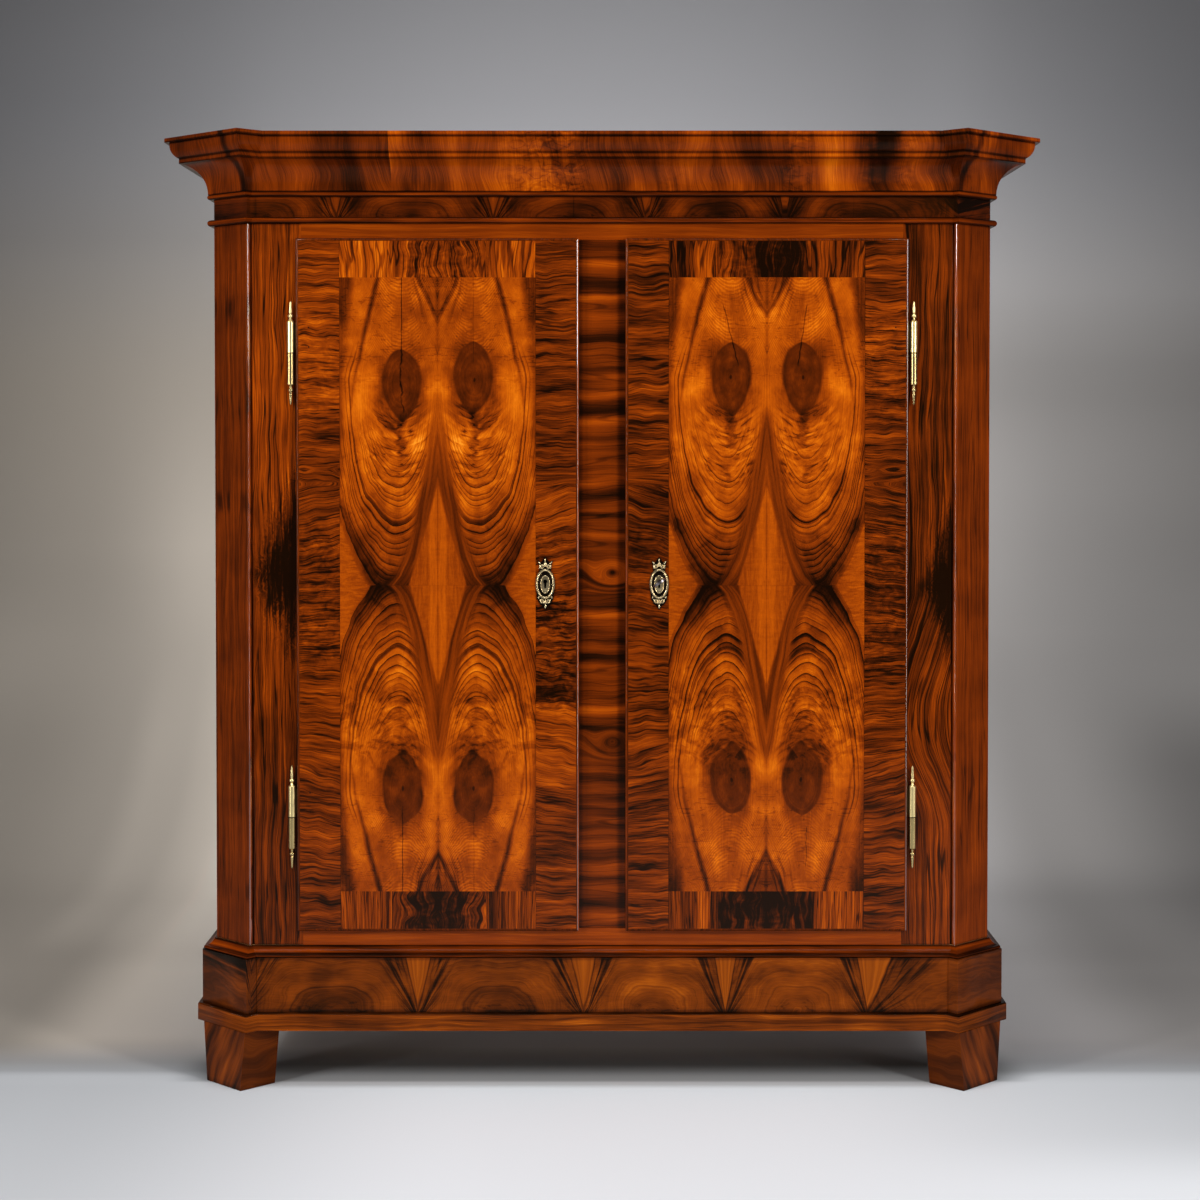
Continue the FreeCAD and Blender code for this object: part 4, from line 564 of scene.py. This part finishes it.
def arch_figure(name, stops, foot, height, slope, tone, spread, seed=0, shine=1, ramp=WALNUT):
    """Book-matched arches along a low board, with points between them.

    foot and height are the board's, slope flattens the arches and spread widens the points.
    """
    p = Pattern(name)
    x, y, z = p.position()
    along = run_along(p, x, y)
    leaf = p.steps(along, [(place, share) for place, share, _ in stops])
    shade = p.steps(along, [(place, tone) for place, _, tone in stops])
    sway = p.noise((along / 90, z / 60, seed), 2)
    across = leaf + (sway - 0.5) * 0.24
    up = (z - foot) / height * (slope - leaf * slope * 0.42) + (sway - 0.5) * 0.10
    loop = (across * across + up * up) ** 0.5
    patch = shade * 9 + seed
    fibre = p.noise((loop * 60, leaf * 1.5, patch), 4, 0.65, 0.2)
    bands = p.noise((loop * 3.6, patch, seed + 2), 1)
    lines = p.smooth(p.noise((loop * 24, leaf * 0.8, patch + 4), 2, 0.6), 0.56, 0.72)
    grain = p.noise((along / 30, z / 3, seed + 5), 3, 0.6, 0.5)
    cloud = p.noise((along / 70, z / 50, seed + 6), 2)
    level = shade + tone - 0.42 + (bands - 0.5) * 0.46 - lines * 0.08 + (fibre - 0.5) * 0.30
    level = level + (grain - 0.5) * 0.18 + (cloud - 0.5) * 0.46
    lens = p.smooth(loop, 0.50, 0.34)
    heel = p.noise((along / 24, z / 8, seed + 7), 3, 0.6, 0.6)
    rim = p.band(loop, 0.44, 0.006, 0.014)
    level = level - lens * 0.12 - rim * 0.08
    level = level - lens * p.smooth(heel, 0.54, 0.68) * p.smooth(up, 0.3, 0) * 0.16
    rise = (z - foot) / height
    away = (1 - leaf) * 165 + (sway - 0.5) * 5
    half = rise * spread + 1
    inside = p.smooth(away - half, 1, -1)
    rays = p.noise((away / half * 3, patch, 4), 2)
    level = blend(inside, level, shade * 0.5 + tone - 0.05 + (rays - 0.5) * 0.60)
    fan = p.noise(((away - half) / (half + 5) * 2.6, patch, rise * 0.5 + 9), 3, 0.6)
    beside = p.smooth(away - half * 1.9, 40, 4) * (1 - inside)
    level = level - beside * (p.smooth(fan, 0.42, 0.58) * 0.38 + 0.07) - p.band(away, half, 0.6, 1.8) * 0.20
    # Painted shade along the board's top and bottom edges, where it meets the mouldings
    level = level - p.smooth(abs(rise - 0.5), 0.43, 0.50) * 0.16
    match = p.smooth(leaf, 0.010, 0.002)
    return polish(p, level - match * 0.10, fibre, shine=shine, ramp=ramp)


def groove_shade(p, z, grooves):
    """Painted shade: dark lines in the hollows where mouldings meet."""
    return sum(p.band(z, groove, 0.8, 3) * 0.24 for groove in grooves)


# Lengths of veneer along the cornice: where each begins, and its tone
CORNICE_LENGTHS = [(-1200, 0.28), (-850, 0.285), (-453, 0.46), (228, 0.42), (812, 0.425), (1200, 0.425)]
CORNER_SHADE = 0.24


def cornice_figure(name, tone, contrast, grooves):
    """Mouldings veneered across their run, in several lengths, with dark corners and painted shade in the
    hollows.
    """
    p = Pattern(name)
    x, y, z = p.position()
    along = run_along(p, x, y)
    level = p.steps(x, CORNICE_LENGTHS, "CONSTANT")
    numbers = [(place, n * 0.17) for n, (place, _) in enumerate(CORNICE_LENGTHS)]
    patch = p.steps(x, numbers, "CONSTANT") * 20 + 1
    sway = p.noise((along / 120, z / 90, patch), 1)
    slant = along + (z - 1950) * 0.12 + (sway - 0.5) * 46
    calm = p.smooth(level, 0.37, 0.42) * 0.35 + 0.65
    line = p.noise((slant / 2.4, z / 90, patch), 4, 0.70, 0.1)
    wide = p.noise((slant / 95, z / 300, patch + 2), 3, 0.55, 0.1)
    curl = p.noise((along / 30, z / 16, patch + 5), 2, 0.55, 1)
    flames = veins(p, (along / 34, z / 22, patch + 8), 0.05, 1, 0.6)
    stormy = p.smooth(p.noise((along / 230, 1, 2), 1), 0.48, 0.60) * p.smooth(level, 0.37, 0.42)
    value = level + (tone - 0.44) + (line - 0.5) * contrast * 0.62 + (wide - 0.5) * contrast * calm * 1.5
    value = value + (curl - 0.5) * stormy * contrast * 0.6 - flames * stormy * 0.12
    dark = p.smooth(abs(x + (curl - 0.5) * 70 - 604), 66, 4) * (line * 1.3 + 0.25)
    mitre = abs(x) - CORNER_X + (y - FRAME_FRONT) * math.tan(math.radians(22.5))
    # Dark corners, and painted shade in the hollows between mouldings
    value = value - (dark + p.band(mitre, 0, 3, 12)) * CORNER_SHADE - groove_shade(p, z, grooves)
    return polish(p, value, line, shine=0.7)


def long_figure(name, tone, seed, contrast, grooves=(), shine=1, ramp=WALNUT):
    """Solid walnut with the grain along the run."""
    p = Pattern(name)
    x, y, z = p.position()
    along = run_along(p, x, y)
    sway = p.noise((along / 260, z / 30, seed), 2)
    height = z + (sway - 0.5) * 26
    line = p.noise((along / 120, height / 1.6, seed), 4, 0.68, 0.1)
    wide = p.noise((along / 340, height / 9, seed + 2), 2)
    broad = p.noise((along / 150, seed, 4), 2)
    value = tone + (line - 0.5) * contrast * 0.8 + (wide - 0.5) * contrast + (broad - 0.5) * contrast * 0.6
    # Painted shade in the hollows between mouldings
    value = value - groove_shade(p, z, grooves)
    return polish(p, value, line, shine=shine, ramp=ramp)


def post_figure():
    """Centre post: grain across in bands, with small eyes and painted shade at its edges."""
    p = Pattern("post_veneer")
    x, y, z = p.position()
    sway = p.noise((x / 90, z / 130, 1), 1)
    height = z + (sway - 0.5) * 16
    level = 0.42
    for centre in (1110, 745):
        eye = oval(x, z, (22, centre), (56, 40))
        near = p.smooth(eye, 1.3, 0.4)
        height = blend(near * 0.8, height, centre + eye * 40)
        level = level - p.smooth(eye, 0.40, 0.1) * 0.06
    line = p.noise((x / 110, height / 1.8, 0), 4, 0.68, 0.1)
    bar = p.noise((x / 700, height / 38, 2), 1)
    vein = veins(p, (x / 420, height / 30, 8), 0.022, 0)
    level = level - 0.06 + (line - 0.5) * 0.46 + (bar - 0.5) * 1.5 - vein * 0.10
    # Painted shade along both edges, where the doors stand proud of the post
    level = level - p.smooth(x, 26, 42) * 0.16 - p.smooth(x, -38, -48) * 0.14
    level = level - p.smooth(p.noise((x / 400, height / 34, 6), 1), 0.52, 0.68) * 0.18
    return polish(p, level, line)


def foot_figure():
    """Front and rear feet: slanting grain."""
    p = Pattern("foot_walnut")
    x, y, z = p.position()
    run = abs(x) * 0.9 + z * 0.60 + y * 0.9
    sway = p.noise((x / 90, z / 90, y / 90), 1)
    run = run + (sway - 0.5) * 40
    line = p.noise((run / 2.6, (z - abs(x)) / 160, 0), 4, 0.68)
    wide = p.noise((run / 30, (z - abs(x)) / 300, 4), 2)
    # Darker over the lowest 14 mm of the feet
    foot_bottom = p.smooth(z, 14, 0)
    level = 0.30 + (line - 0.5) * 0.36 + (wide - 0.5) * 1.05 - foot_bottom * 0.12
    return polish(p, level, line, 0.36, 0.4, BASE_WALNUT)


def pine_figure(name, tint_low, tint_high, axis="z", board_pitch=None):
    """Plain softwood, not polished, with dark joints where it is made of boards."""
    p = Pattern(name)
    x, y, z = p.position()
    across, along = (x + y * 1.3, z) if axis == "z" else (z + y * 1.3, x)
    sway = p.noise((across / 80, along / 400, 0), 2)
    run = across + (sway - 0.5) * 60
    line = p.noise((run / 7, along / 500, 1), 4, 0.6)
    age = p.noise((x / 300, y / 300, z / 300), 3)
    shade = line * 0.8 + age * 0.5 - 0.15
    if board_pitch is not None:
        board = p.math("FRACT", (x + BACK_HALF) / board_pitch)
        shade = shade + p.smooth(abs(board - 0.5), 0.497, 0.5) * 0.5
    tint = p.mix(shade, tint_high, tint_low)
    return p.surface(tint, age * 0.15 + 0.6, height=line, depth=0.2)


def ground_figure():
    """Edges and backs of the doors: walnut, a little duller."""
    edges = ((-51, 1.8, 1), (51, 0.9, 0.12), (654, 1.8, 1), (-654, 1, 0.2))
    # Painted highlight with some wear: lighter lines along the lock edges, stronger on the left door
    rubbed = ((-51, 0.30), (51, 0.12))
    return upright_figure("door_groundwork", tone=0.28, seed=9, contrast=0.40, rubbed=rubbed, nose=edges)


def brass_figure(name, bright, dull, roughness, depth_from=None, leaf_from=None, joints=()):
    """Brass with old tarnish in its low places, and painted shade on the hinge leaf beside the barrel."""
    p = Pattern(name)
    x, y, z = p.position()
    spots = p.noise((x / 7, y / 7, z / 14), 4, 0.6)
    rubbed = p.noise((x / 1.2, y / 1.2, z / 20), 3, 0.6)
    tarnish_and_shade = p.smooth(spots, 0.52, 0.75) * 0.6
    if depth_from is not None:
        low = p.smooth(depth_from - y, 3.2, 2.4)
        tarnish_and_shade = p.math("MAXIMUM", tarnish_and_shade, low)
    if leaf_from is not None:
        # Painted shade: the hinge leaf between the door edge and the barrel is made dark
        tarnish_and_shade = p.math("MAXIMUM", tarnish_and_shade * 0.6, p.smooth(abs(x), leaf_from + 0.4, leaf_from - 0.4))
    for joint in joints:
        tarnish_and_shade = p.math("MAXIMUM", tarnish_and_shade, p.band(z, joint, 0.7, 0.8))
    tint = p.mix(tarnish_and_shade, bright, dull)
    rough = rubbed * 0.16 + roughness + tarnish_and_shade * 0.18
    return p.surface(tint, rough, metallic=1, height=rubbed, depth=0.05)


def steel_figure(name, bright, dull, roughness):
    """Iron and steel, worn."""
    p = Pattern(name)
    x, y, z = p.position()
    spots = p.noise((x / 9, y / 9, z / 9), 4, 0.65)
    tint = p.mix(p.smooth(spots, 0.40, 0.70), bright, dull)
    return p.surface(tint, spots * 0.3 + roughness, metallic=1, height=spots, depth=0.08)


# Change of tone by height on the left and the right piece, rubbed edges with a painted highlight, and edges
# with a harder coat
STILE_FALLS = ([(300, -0.20), (700, -0.18), (900, -0.10), (1300, -0.04), (1450, 0), (1860, -0.02)],
               [(300, -0.10), (900, -0.12), (1100, -0.18), (1860, -0.15)])
PILASTER_FALLS = ([(300, 0), (1860, 0)], [(300, 0.07), (1860, 0.05)])
PILASTER_WORN_AND_HIGHLIT = ((-757, 0.16), (757, 0.14))
PILASTER_NOSE = ((-756.5, 3, 0.8), (756.5, 3, 0.6))

# Matched leaves: place along the front, 0 in the middle of an arch and 1 at a point, and tone
PLINTH_LEAVES = [(-1300, 0.2, 0.34), (-930, 0.6, 0.36), (-760, 0.70, 0.38), (-752, 0.86, 0.44),
                 (-574, 0, 0.36), (-394, 1, 0.48), (-221, 0, 0.40), (-38, 1, 0.50), (113, 0, 0.56),
                 (264, 1, 0.46), (418, 0, 0.54), (570, 1, 0.46), (754, 0.45, 0.38), (1300, 0.9, 0.34)]
FRIEZE_LEAVES = [(-1300, 0.4, 0.40), (-735, 0, 0.40), (-571, 1, 0.46), (-408, 0, 0.42),
                 (-233, 1, 0.46), (-61, 0, 0.42), (95, 1, 0.46), (243, 0, 0.38), (391, 1, 0.44),
                 (537, 0, 0.36), (760, 0.9, 0.34), (1300, 0.3, 0.40)]

# Heights of the hollows between mouldings, which get painted shade
COVE_GROOVES = (1924, 1991)
CROWN_GROOVES = (1990, 2001, 2034)
BEAD_GROOVES = (1857, 1870, 1914.5, 1925, 289.5, 283, 305)
BAND_GROOVES = (165.5,)
HINGE = {"leaf_from": HINGE_LEAF_X, "joints": HINGE_JOINTS}

looks = {
    "panel": panel_figure(),
    "banding": banding_figure(),
    "ground": ground_figure(),
    "stile": upright_figure("stile_walnut", tone=0.46, seed=0, contrast=0.90, dark_z=1085, falls=STILE_FALLS),
    "pilaster": upright_figure("pilaster_walnut", tone=0.34, seed=4, contrast=0.46, falls=PILASTER_FALLS,
                               rubbed=PILASTER_WORN_AND_HIGHLIT, nose=PILASTER_NOSE),
    "side": upright_figure("side_walnut", tone=0.44, seed=8, contrast=0.5, turned=True, bare_from=822),
    "post": post_figure(),
    "rail": long_figure("rail_walnut", tone=0.50, seed=3, contrast=0.42),
    "plinth": arch_figure("plinth_veneer", PLINTH_LEAVES, foot=168, height=115, slope=0.95, tone=0.42,
                          spread=24, shine=0.5, ramp=BASE_WALNUT),
    "frieze": arch_figure("frieze_veneer", FRIEZE_LEAVES, foot=1868, height=47, slope=0.60, tone=0.29,
                          spread=11, seed=0.3),
    "cove": cornice_figure("cove_veneer", tone=0.42, contrast=1.02, grooves=COVE_GROOVES),
    "crown": cornice_figure("crown_veneer", tone=0.44, contrast=0.95, grooves=CROWN_GROOVES),
    "bead": long_figure("bead_walnut", tone=0.35, seed=5, contrast=0.60, grooves=BEAD_GROOVES, shine=0.4),
    "band": long_figure("band_walnut", tone=0.40, seed=6, contrast=0.95, grooves=BAND_GROOVES, shine=0.5,
                        ramp=BASE_WALNUT),
    "foot": foot_figure(),
    "pine": pine_figure("pine_inside", (150, 104, 58), (206, 168, 112), "x"),
    "pine_back": pine_figure("pine_back", (96, 66, 38), (150, 112, 70), board_pitch=184.78),
    "brass": brass_figure("brass", (240, 218, 156), (52, 38, 20), 0.26, **HINGE),
    "worn_brass": brass_figure("worn_brass", (196, 172, 118), (44, 32, 18), 0.16, **HINGE),
    "old_brass": brass_figure("old_brass", (238, 214, 166), (26, 20, 15), 0.16, FACE_Y),
    "iron": steel_figure("iron", (96, 90, 88), (44, 36, 32), 0.35),
    "pin": steel_figure("pin_iron", (34, 26, 22), (12, 8, 6), 0.55),
    "steel": steel_figure("steel", (150, 142, 146), (56, 46, 50), 0.16),
}


def both(*names):
    """Names of the left and the right piece, with the side in place of the star."""
    return [name.replace("*", side) for name in names for side in ("left", "right")]


WEARS = {
    "panel": both("door_*_veneer"),
    "banding": both("door_*_banding"),
    "ground": both("door_*_stiles", "door_*_rails", "door_*_panels"),
    "stile": both("stile_*"),
    "pilaster": both("pilaster_*"),
    "side": both("side_*"),
    "post": ["centre_post"],
    "rail": ["top_rail", "bottom_rail"],
    "plinth": ["plinth_front", *both("plinth_*")],
    "frieze": ["frieze_front", *both("frieze_*")],
    "cove": ["cornice_cove"],
    "crown": ["cornice_crown"],
    "bead": ["bead_lower", "bead_upper", "plinth_moulding"],
    "band": ["plinth_band"],
    "foot": ["feet_rear", *both("foot_front_*")],
    "pine": ["floor_board", "top_board", "hat_shelf", "shelf_battens", "rail_brackets", "clothes_rail",
             "plinth_rear", "frieze_rear", "back_rail"],
    "pine_back": ["back_boards"],
    "brass": both("door_*_hinge_halves"),
    "worn_brass": ["hinge_frame_halves"],
    "old_brass": ["strike_plates", *both("escutcheon_*")],
    "iron": ["hinge_pins", *both("lock_*_case")],
    "pin": both("door_*_leaf_pins"),
    "steel": ["key_right", *both("lock_*_bolt")],
}
for look, names in WEARS.items():
    for name in names:
        item = parts[name]
        item.data.materials.clear()
        item.data.materials.append(looks[look])

assert sorted(name for names in WEARS.values() for name in names) == sorted(parts)


# Eased edges that catch the light
EDGE_ROUND = 0.0012
SHARP_ANGLE = 35
EASED = ["plinth_band", "plinth_front", "feet_rear", "centre_post"]
EASED += both("stile_*", "plinth_*", "foot_front_*", "pilaster_*", "door_*_stiles")


def ease(item):
    """A small round on a piece's sharp edges."""
    shade_smooth(item.data)
    weld = item.modifiers.new("weld", "WELD")
    weld.merge_threshold = 0.00002
    flats = item.modifiers.new("flats", "DECIMATE")
    flats.decimate_type = "DISSOLVE"
    flats.angle_limit = math.radians(0.2)
    edge = item.modifiers.new("edge", "BEVEL")
    edge.width = EDGE_ROUND
    edge.segments = 2
    edge.limit_method = "ANGLE"
    edge.angle_limit = math.radians(SHARP_ANGLE)
    edge.miter_outer = "MITER_ARC"
    normals = item.modifiers.new("normals", "WEIGHTED_NORMAL")
    normals.keep_sharp = False


for name in EASED:
    ease(parts[name])


# Cast relief of the escutcheons: rings, bosses and leaves
class Relief:
    """Points and faces of raised ornament, drawn for the right door in millimetres."""

    def __init__(self):
        self.points = []
        self.faces = []

    def tube(self, centre, radii, size, height, steps=48, sides=8):
        """An oval ring of round section."""
        start = len(self.points)
        for n in range(steps):
            turn = math.tau * n / steps
            for m in range(sides):
                tilt = math.tau * m / sides
                out = math.cos(tilt) * size
                x = centre[0] + math.cos(turn) * (radii[0] + out)
                z = centre[1] + math.sin(turn) * (radii[1] + out)
                self.points.append((x, FACE_Y - height + math.sin(tilt) * size, z))
        self.skin(start, steps, sides, True)

    def leaf(self, start_at, end_at, width, height, base=1.4, steps=8, sides=8):
        """A pointed swelling from one place to another."""
        start = len(self.points)
        run = Vector(end_at) - Vector(start_at)
        side = Vector((-run.y, run.x)).normalized()
        for n in range(steps + 1):
            share = n / steps
            swell = max(math.sin(math.pi * share ** 0.75), 0.02)
            middle = Vector(start_at) + run * share
            for m in range(sides):
                tilt = math.tau * m / sides
                place = middle + side * math.cos(tilt) * width * swell
                raised = base + math.sin(tilt) * (height - base) * swell
                self.points.append((place.x, FACE_Y - raised, place.y))
        self.skin(start, steps + 1, sides, False)

    def skin(self, start, rings, sides, closed):
        """Faces between rings of points, and back to the first ring where it is closed."""
        for n in range(rings if closed else rings - 1):
            for m in range(sides):
                here, there = start + n * sides, start + (n + 1) % rings * sides
                self.faces.append((here + m, here + (m + 1) % sides, there + (m + 1) % sides, there + m))

    def piece(self, name, direction):
        """The ornament as one mesh, mirrored for the left door."""
        mesh = bpy.data.meshes.new(name)
        points = [(x * direction / MM, y / MM, z / MM) for x, y, z in self.points]
        mesh.from_pydata(points, [], self.faces if direction < 0 else [face[::-1] for face in self.faces])
        shade_smooth(mesh)
        mesh.materials.append(looks["old_brass"])
        return add_object(name, mesh)


# Leaves of the relief from the plate's middle: start, end, width and height
PAIRED_LEAVES = [
    ((11, 30), (12, 46), 2, 3.4),
    ((9.5, 42), (15.6, 49.5), 2, 3.6),
    ((13, -25), (15, -35), 2, 3.2),
    ((11.5, -31), (8, -42), 2, 3.4),
    ((1, -36), (4.6, -45), 1.5, 3.8),
]
MIDDLE_LEAVES = [
    ((0, 36), (0, 50), 4.4, 5),
    ((0, 47), (0, 57), 1.9, 3.8),
    ((0, -32), (0, -45), 2.2, 4.6),
    ((0, -42), (0, -55.5), 2.4, 4),
]
RIM_LEAVES = 28


def on_plate(across, up):
    """A place on the right escutcheon."""
    return KEY_X + across, PLATE_Z + up


relief = Relief()
relief.tube(on_plate(0, 0), (17.2, 29.6), 1.5, 3)
relief.tube(on_plate(0, -1), (9.6, 18.5), 0.9, 3)
for n in range(RIM_LEAVES):
    turn = math.tau * (n + 0.5) / RIM_LEAVES
    away = math.cos(turn), math.sin(turn)
    inner_end = on_plate(away[0] * 17.8, away[1] * 30.4)
    outer_end = on_plate(away[0] * 20.3 + 0.4, away[1] * 33 - 1.6)
    relief.leaf(inner_end, outer_end, 1.4, 2.7, 1)
for side in (-1, 1):
    for direction in (-1, 1):
        relief.tube(on_plate(6.6 * side, 37 * direction), (3.2, 3.2), 1, 2.8, 20, 6)
    for (x0, z0), (x1, z1), width, height in PAIRED_LEAVES:
        relief.leaf(on_plate(x0 * side, z0), on_plate(x1 * side, z1), width, height)
for (x0, z0), (x1, z1), width, height in MIDDLE_LEAVES:
    relief.leaf(on_plate(x0, z0), on_plate(x1, z1), width, height)
for direction, door in ((-1, "left"), (1, "right")):
    cast = relief.piece(f"escutcheon_{door}_relief", direction)
    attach(cast, f"door_{door}")


# Studio: floor and backdrop in one curved sheet, in metres
WALL_Y = 3.2
BEND_RADIUS = 1.4
BEND_STEPS = 16
SHEET_REACH = 9


def backdrop_sheet():
    """A floor that bends up into a wall."""
    bend_y = WALL_Y - BEND_RADIUS
    profile = [(-SHEET_REACH, 0), (bend_y, 0)]
    for step in range(1, BEND_STEPS + 1):
        angle = math.pi / 2 * step / BEND_STEPS
        profile.append((bend_y + math.sin(angle) * BEND_RADIUS, BEND_RADIUS - math.cos(angle) * BEND_RADIUS))
    profile.append((WALL_Y, SHEET_REACH))
    points = [(x, y, z) for x in (-SHEET_REACH, SHEET_REACH) for y, z in profile]
    count = len(profile)
    faces = [(n, count + n, count + n + 1, n + 1) for n in range(count - 1)]
    mesh = bpy.data.meshes.new("backdrop")
    mesh.from_pydata(points, [], faces)
    shade_smooth(mesh)
    return add_object("backdrop", mesh)


# Greys of the floor by y and of the wall by z, in millimetres: painted light and shade, with the wardrobe's
# shadow painted dark on the floor under it
FLOOR_LEVELS = [(-2500, 0.78), (-1000, 0.90), (-170, 0.88), (-110, 0.74), (-70, 0.46), (0, 0.34), (150, 0.32),
                (900, 0.50), (3000, 0.60)]
WALL_LEVELS = [(0, 1), (600, 0.96), (1400, 0.92), (2000, 0.88), (2600, 0.70), (3400, 0.60)]

# What multiplies them, at about half size: a painted shadow under the wardrobe, and painted light and shade
# at the two sides
SHADOW_BENEATH_LEVELS = [(-200, 0.50), (-165, 0.50), (-150, 0.27), (-20, 0.20), (60, 0.46), (130, 0.68), (900, 0.50),
                  (1000, 0.50)]
LEFT_SIDE = [(0, 0.47), (250, 0.49), (1000, 0.63), (1500, 0.53), (2100, 0.43), (2800, 0.48)]
RIGHT_SIDE = [(0, 0.48), (250, 0.50), (700, 0.60), (1250, 0.52), (1650, 0.49), (1900, 0.56), (2400, 0.50),
              (2800, 0.50)]


def backdrop_look():
    """Painted light and shade on the paper: pale at the front of the floor, grey up the wall, and clear seen
    from behind.
    """
    p = Pattern("backdrop_paper")
    x, y, z = p.position()
    beside = p.smooth(y, -60, 250)
    in_front = p.smooth(y, 0, -200)
    left_glow = p.band(x, -1030, 130, 260) * 0.9
    right_glow = p.band(x, 1010, 90, 330) * 0.4
    # Floor: painted glows beside the wardrobe, and painted shade to the front at both sides
    floor = shaded(p.steps(y, FLOOR_LEVELS), 1, left_glow + right_glow, beside)
    floor = shaded(floor, -0.34, p.smooth(x, -250, -1150), in_front)
    floor = shaded(floor, -0.10, p.smooth(x, 900, 1900))
    floor = shaded(floor, -0.20, p.smooth(x, 350, 1250), in_front, p.smooth(y, -900, -500))
    # Painted shadow of the wardrobe on the floor under it
    shadow_beneath = p.steps(y, SHADOW_BENEATH_LEVELS) * 2
    floor = blend(p.smooth(abs(x), 960, 820), floor, floor * shadow_beneath)

    # Wall, with a painted wide glow, softer painted glows low at the sides, and painted shade low at the
    # right
    glow = p.smooth(oval(x, z, (-60, 1700), (2700, 2500)), 1.1, 0)
    wall = (0.195 + glow * 0.52) * p.steps(z, WALL_LEVELS) * 1.17
    wall = shaded(wall, -0.28, p.smooth(x, 900, 2000), p.smooth(z, 1600, 600))
    left_part = p.smooth(x, -1850, -1250) * p.smooth(x, -800, -1200)
    wall = shaded(wall, 0.66, left_part, p.smooth(z, 1750, 400), p.smooth(z, -200, 700))
    right_part = p.band(z, 1050, 130, 600) * 0.34 + p.smooth(z, 1500, 1750) * 0.10
    wall = shaded(wall, 1, p.smooth(x, 1000, 1300), right_part)
    wall = shaded(wall, -0.42, p.smooth(x, 1400, 1950), p.smooth(z, 850, 350))
    level = blend(p.smooth(z, 20, 1100), floor, wall)

    # Painted light and shade at the two sides and at the bend between floor and wall
    level = level * blend(p.smooth(x, -1100, -1500), 1, p.steps(z, LEFT_SIDE) * 2)
    level = level * blend(p.smooth(x, 1100, 1500), 1, p.steps(z, RIGHT_SIDE) * 1.92)
    at_bend = p.smooth(y, 900, 1500)
    low = p.smooth(z, 700, 300) * at_bend
    level = shaded(level, -0.24, p.smooth(x, -1500, -2000), low)
    level = shaded(level, 0.20, p.band(x, -1440, 60, 130), low)
    level = shaded(level, -0.46, p.smooth(x, 1500, 2050), p.smooth(z, 600, 250), at_bend)
    before_bend = p.smooth(z, 150, 20) * p.band(y, 1300, 500, 500)
    level = shaded(level, -0.17, p.smooth(x, 900, 1300), before_bend)

    # Tint: warmer low at the sides, cooler in front
    warm = p.smooth(z, 2600, 1500) * p.smooth(y, -100, 200)
    warm_left = p.smooth(x, -300, -1300) * warm
    warm_right = p.smooth(x, 500, 1500) * warm
    front = p.smooth(y, 100, -100)
    red = level * (0.972 + warm_left * 0.112 + warm_right * 0.044 - front * 0.040)
    blue = level * (1.050 - warm_left * 0.190 - warm_right * 0.080)
    tint = p.node("ShaderNodeCombineColor")
    for socket, share in zip(tint.inputs, (red, level * 0.982, blue)):
        p.put(socket, share)
    return p.surface(Value(p, tint.outputs[0]), 0.9, one_sided=True)


sheet = backdrop_sheet()
sheet.data.materials.append(backdrop_look())


# Lights
def area_light(name, place, target, width, height, power, tint):
    """A rectangular lamp that faces a target."""
    data = bpy.data.lights.new(name, "AREA")
    data.shape = "RECTANGLE"
    data.size = width
    data.size_y = height
    data.energy = power
    data.color = linear(tint)
    item = add_object(name, data)
    item.location = place
    item.rotation_euler = (Vector(target) - Vector(place)).to_track_quat("-Z", "Y").to_euler()


MIDDLE = (0, 0, 1.1)
area_light("left_key", (-3.2, -3.3, 2.35), MIDDLE, 0.45, 0.45, 70, (255, 252, 248))
area_light("left_strip", (-2.9, -2.2, 1.3), MIDDLE, 0.20, 2, 30, (255, 252, 248))
area_light("right_strip", (3, -3.6, 2.6), MIDDLE, 0.6, 1.8, 104, (255, 251, 245))
area_light("right_line", (2.9, -2, 1.25), MIDDLE, 0.16, 2.1, 16, (255, 251, 248))
area_light("top", (0, -1.3, 4.6), (0, 0.1, 1), 3, 1.2, 80, (255, 255, 255))

world = bpy.data.worlds.new("studio")
bpy.context.scene.world = world
world.use_nodes = True
background = world.node_tree.nodes["Background"]
background.inputs["Color"].default_value = (0.60, 0.61, 0.63, 1)
background.inputs["Strength"].default_value = 0.12


# Camera at the photo's angle
CAMERA_PLACE = (0, -5.2213, 1.421)
CAMERA_DIP = 1.4
FOCAL_LENGTH = 70.38
SHIFT = (-0.00183, -0.0961)
camera_data = bpy.data.cameras.new("camera")
camera_data.sensor_width = 36
camera_data.lens = FOCAL_LENGTH
camera_data.shift_x, camera_data.shift_y = SHIFT
camera = add_object("camera", camera_data)
camera.location = CAMERA_PLACE
camera.rotation_euler = (math.radians(90 - CAMERA_DIP), 0, 0)
bpy.context.scene.camera = camera
bpy.context.scene.view_settings.view_transform = "Standard"
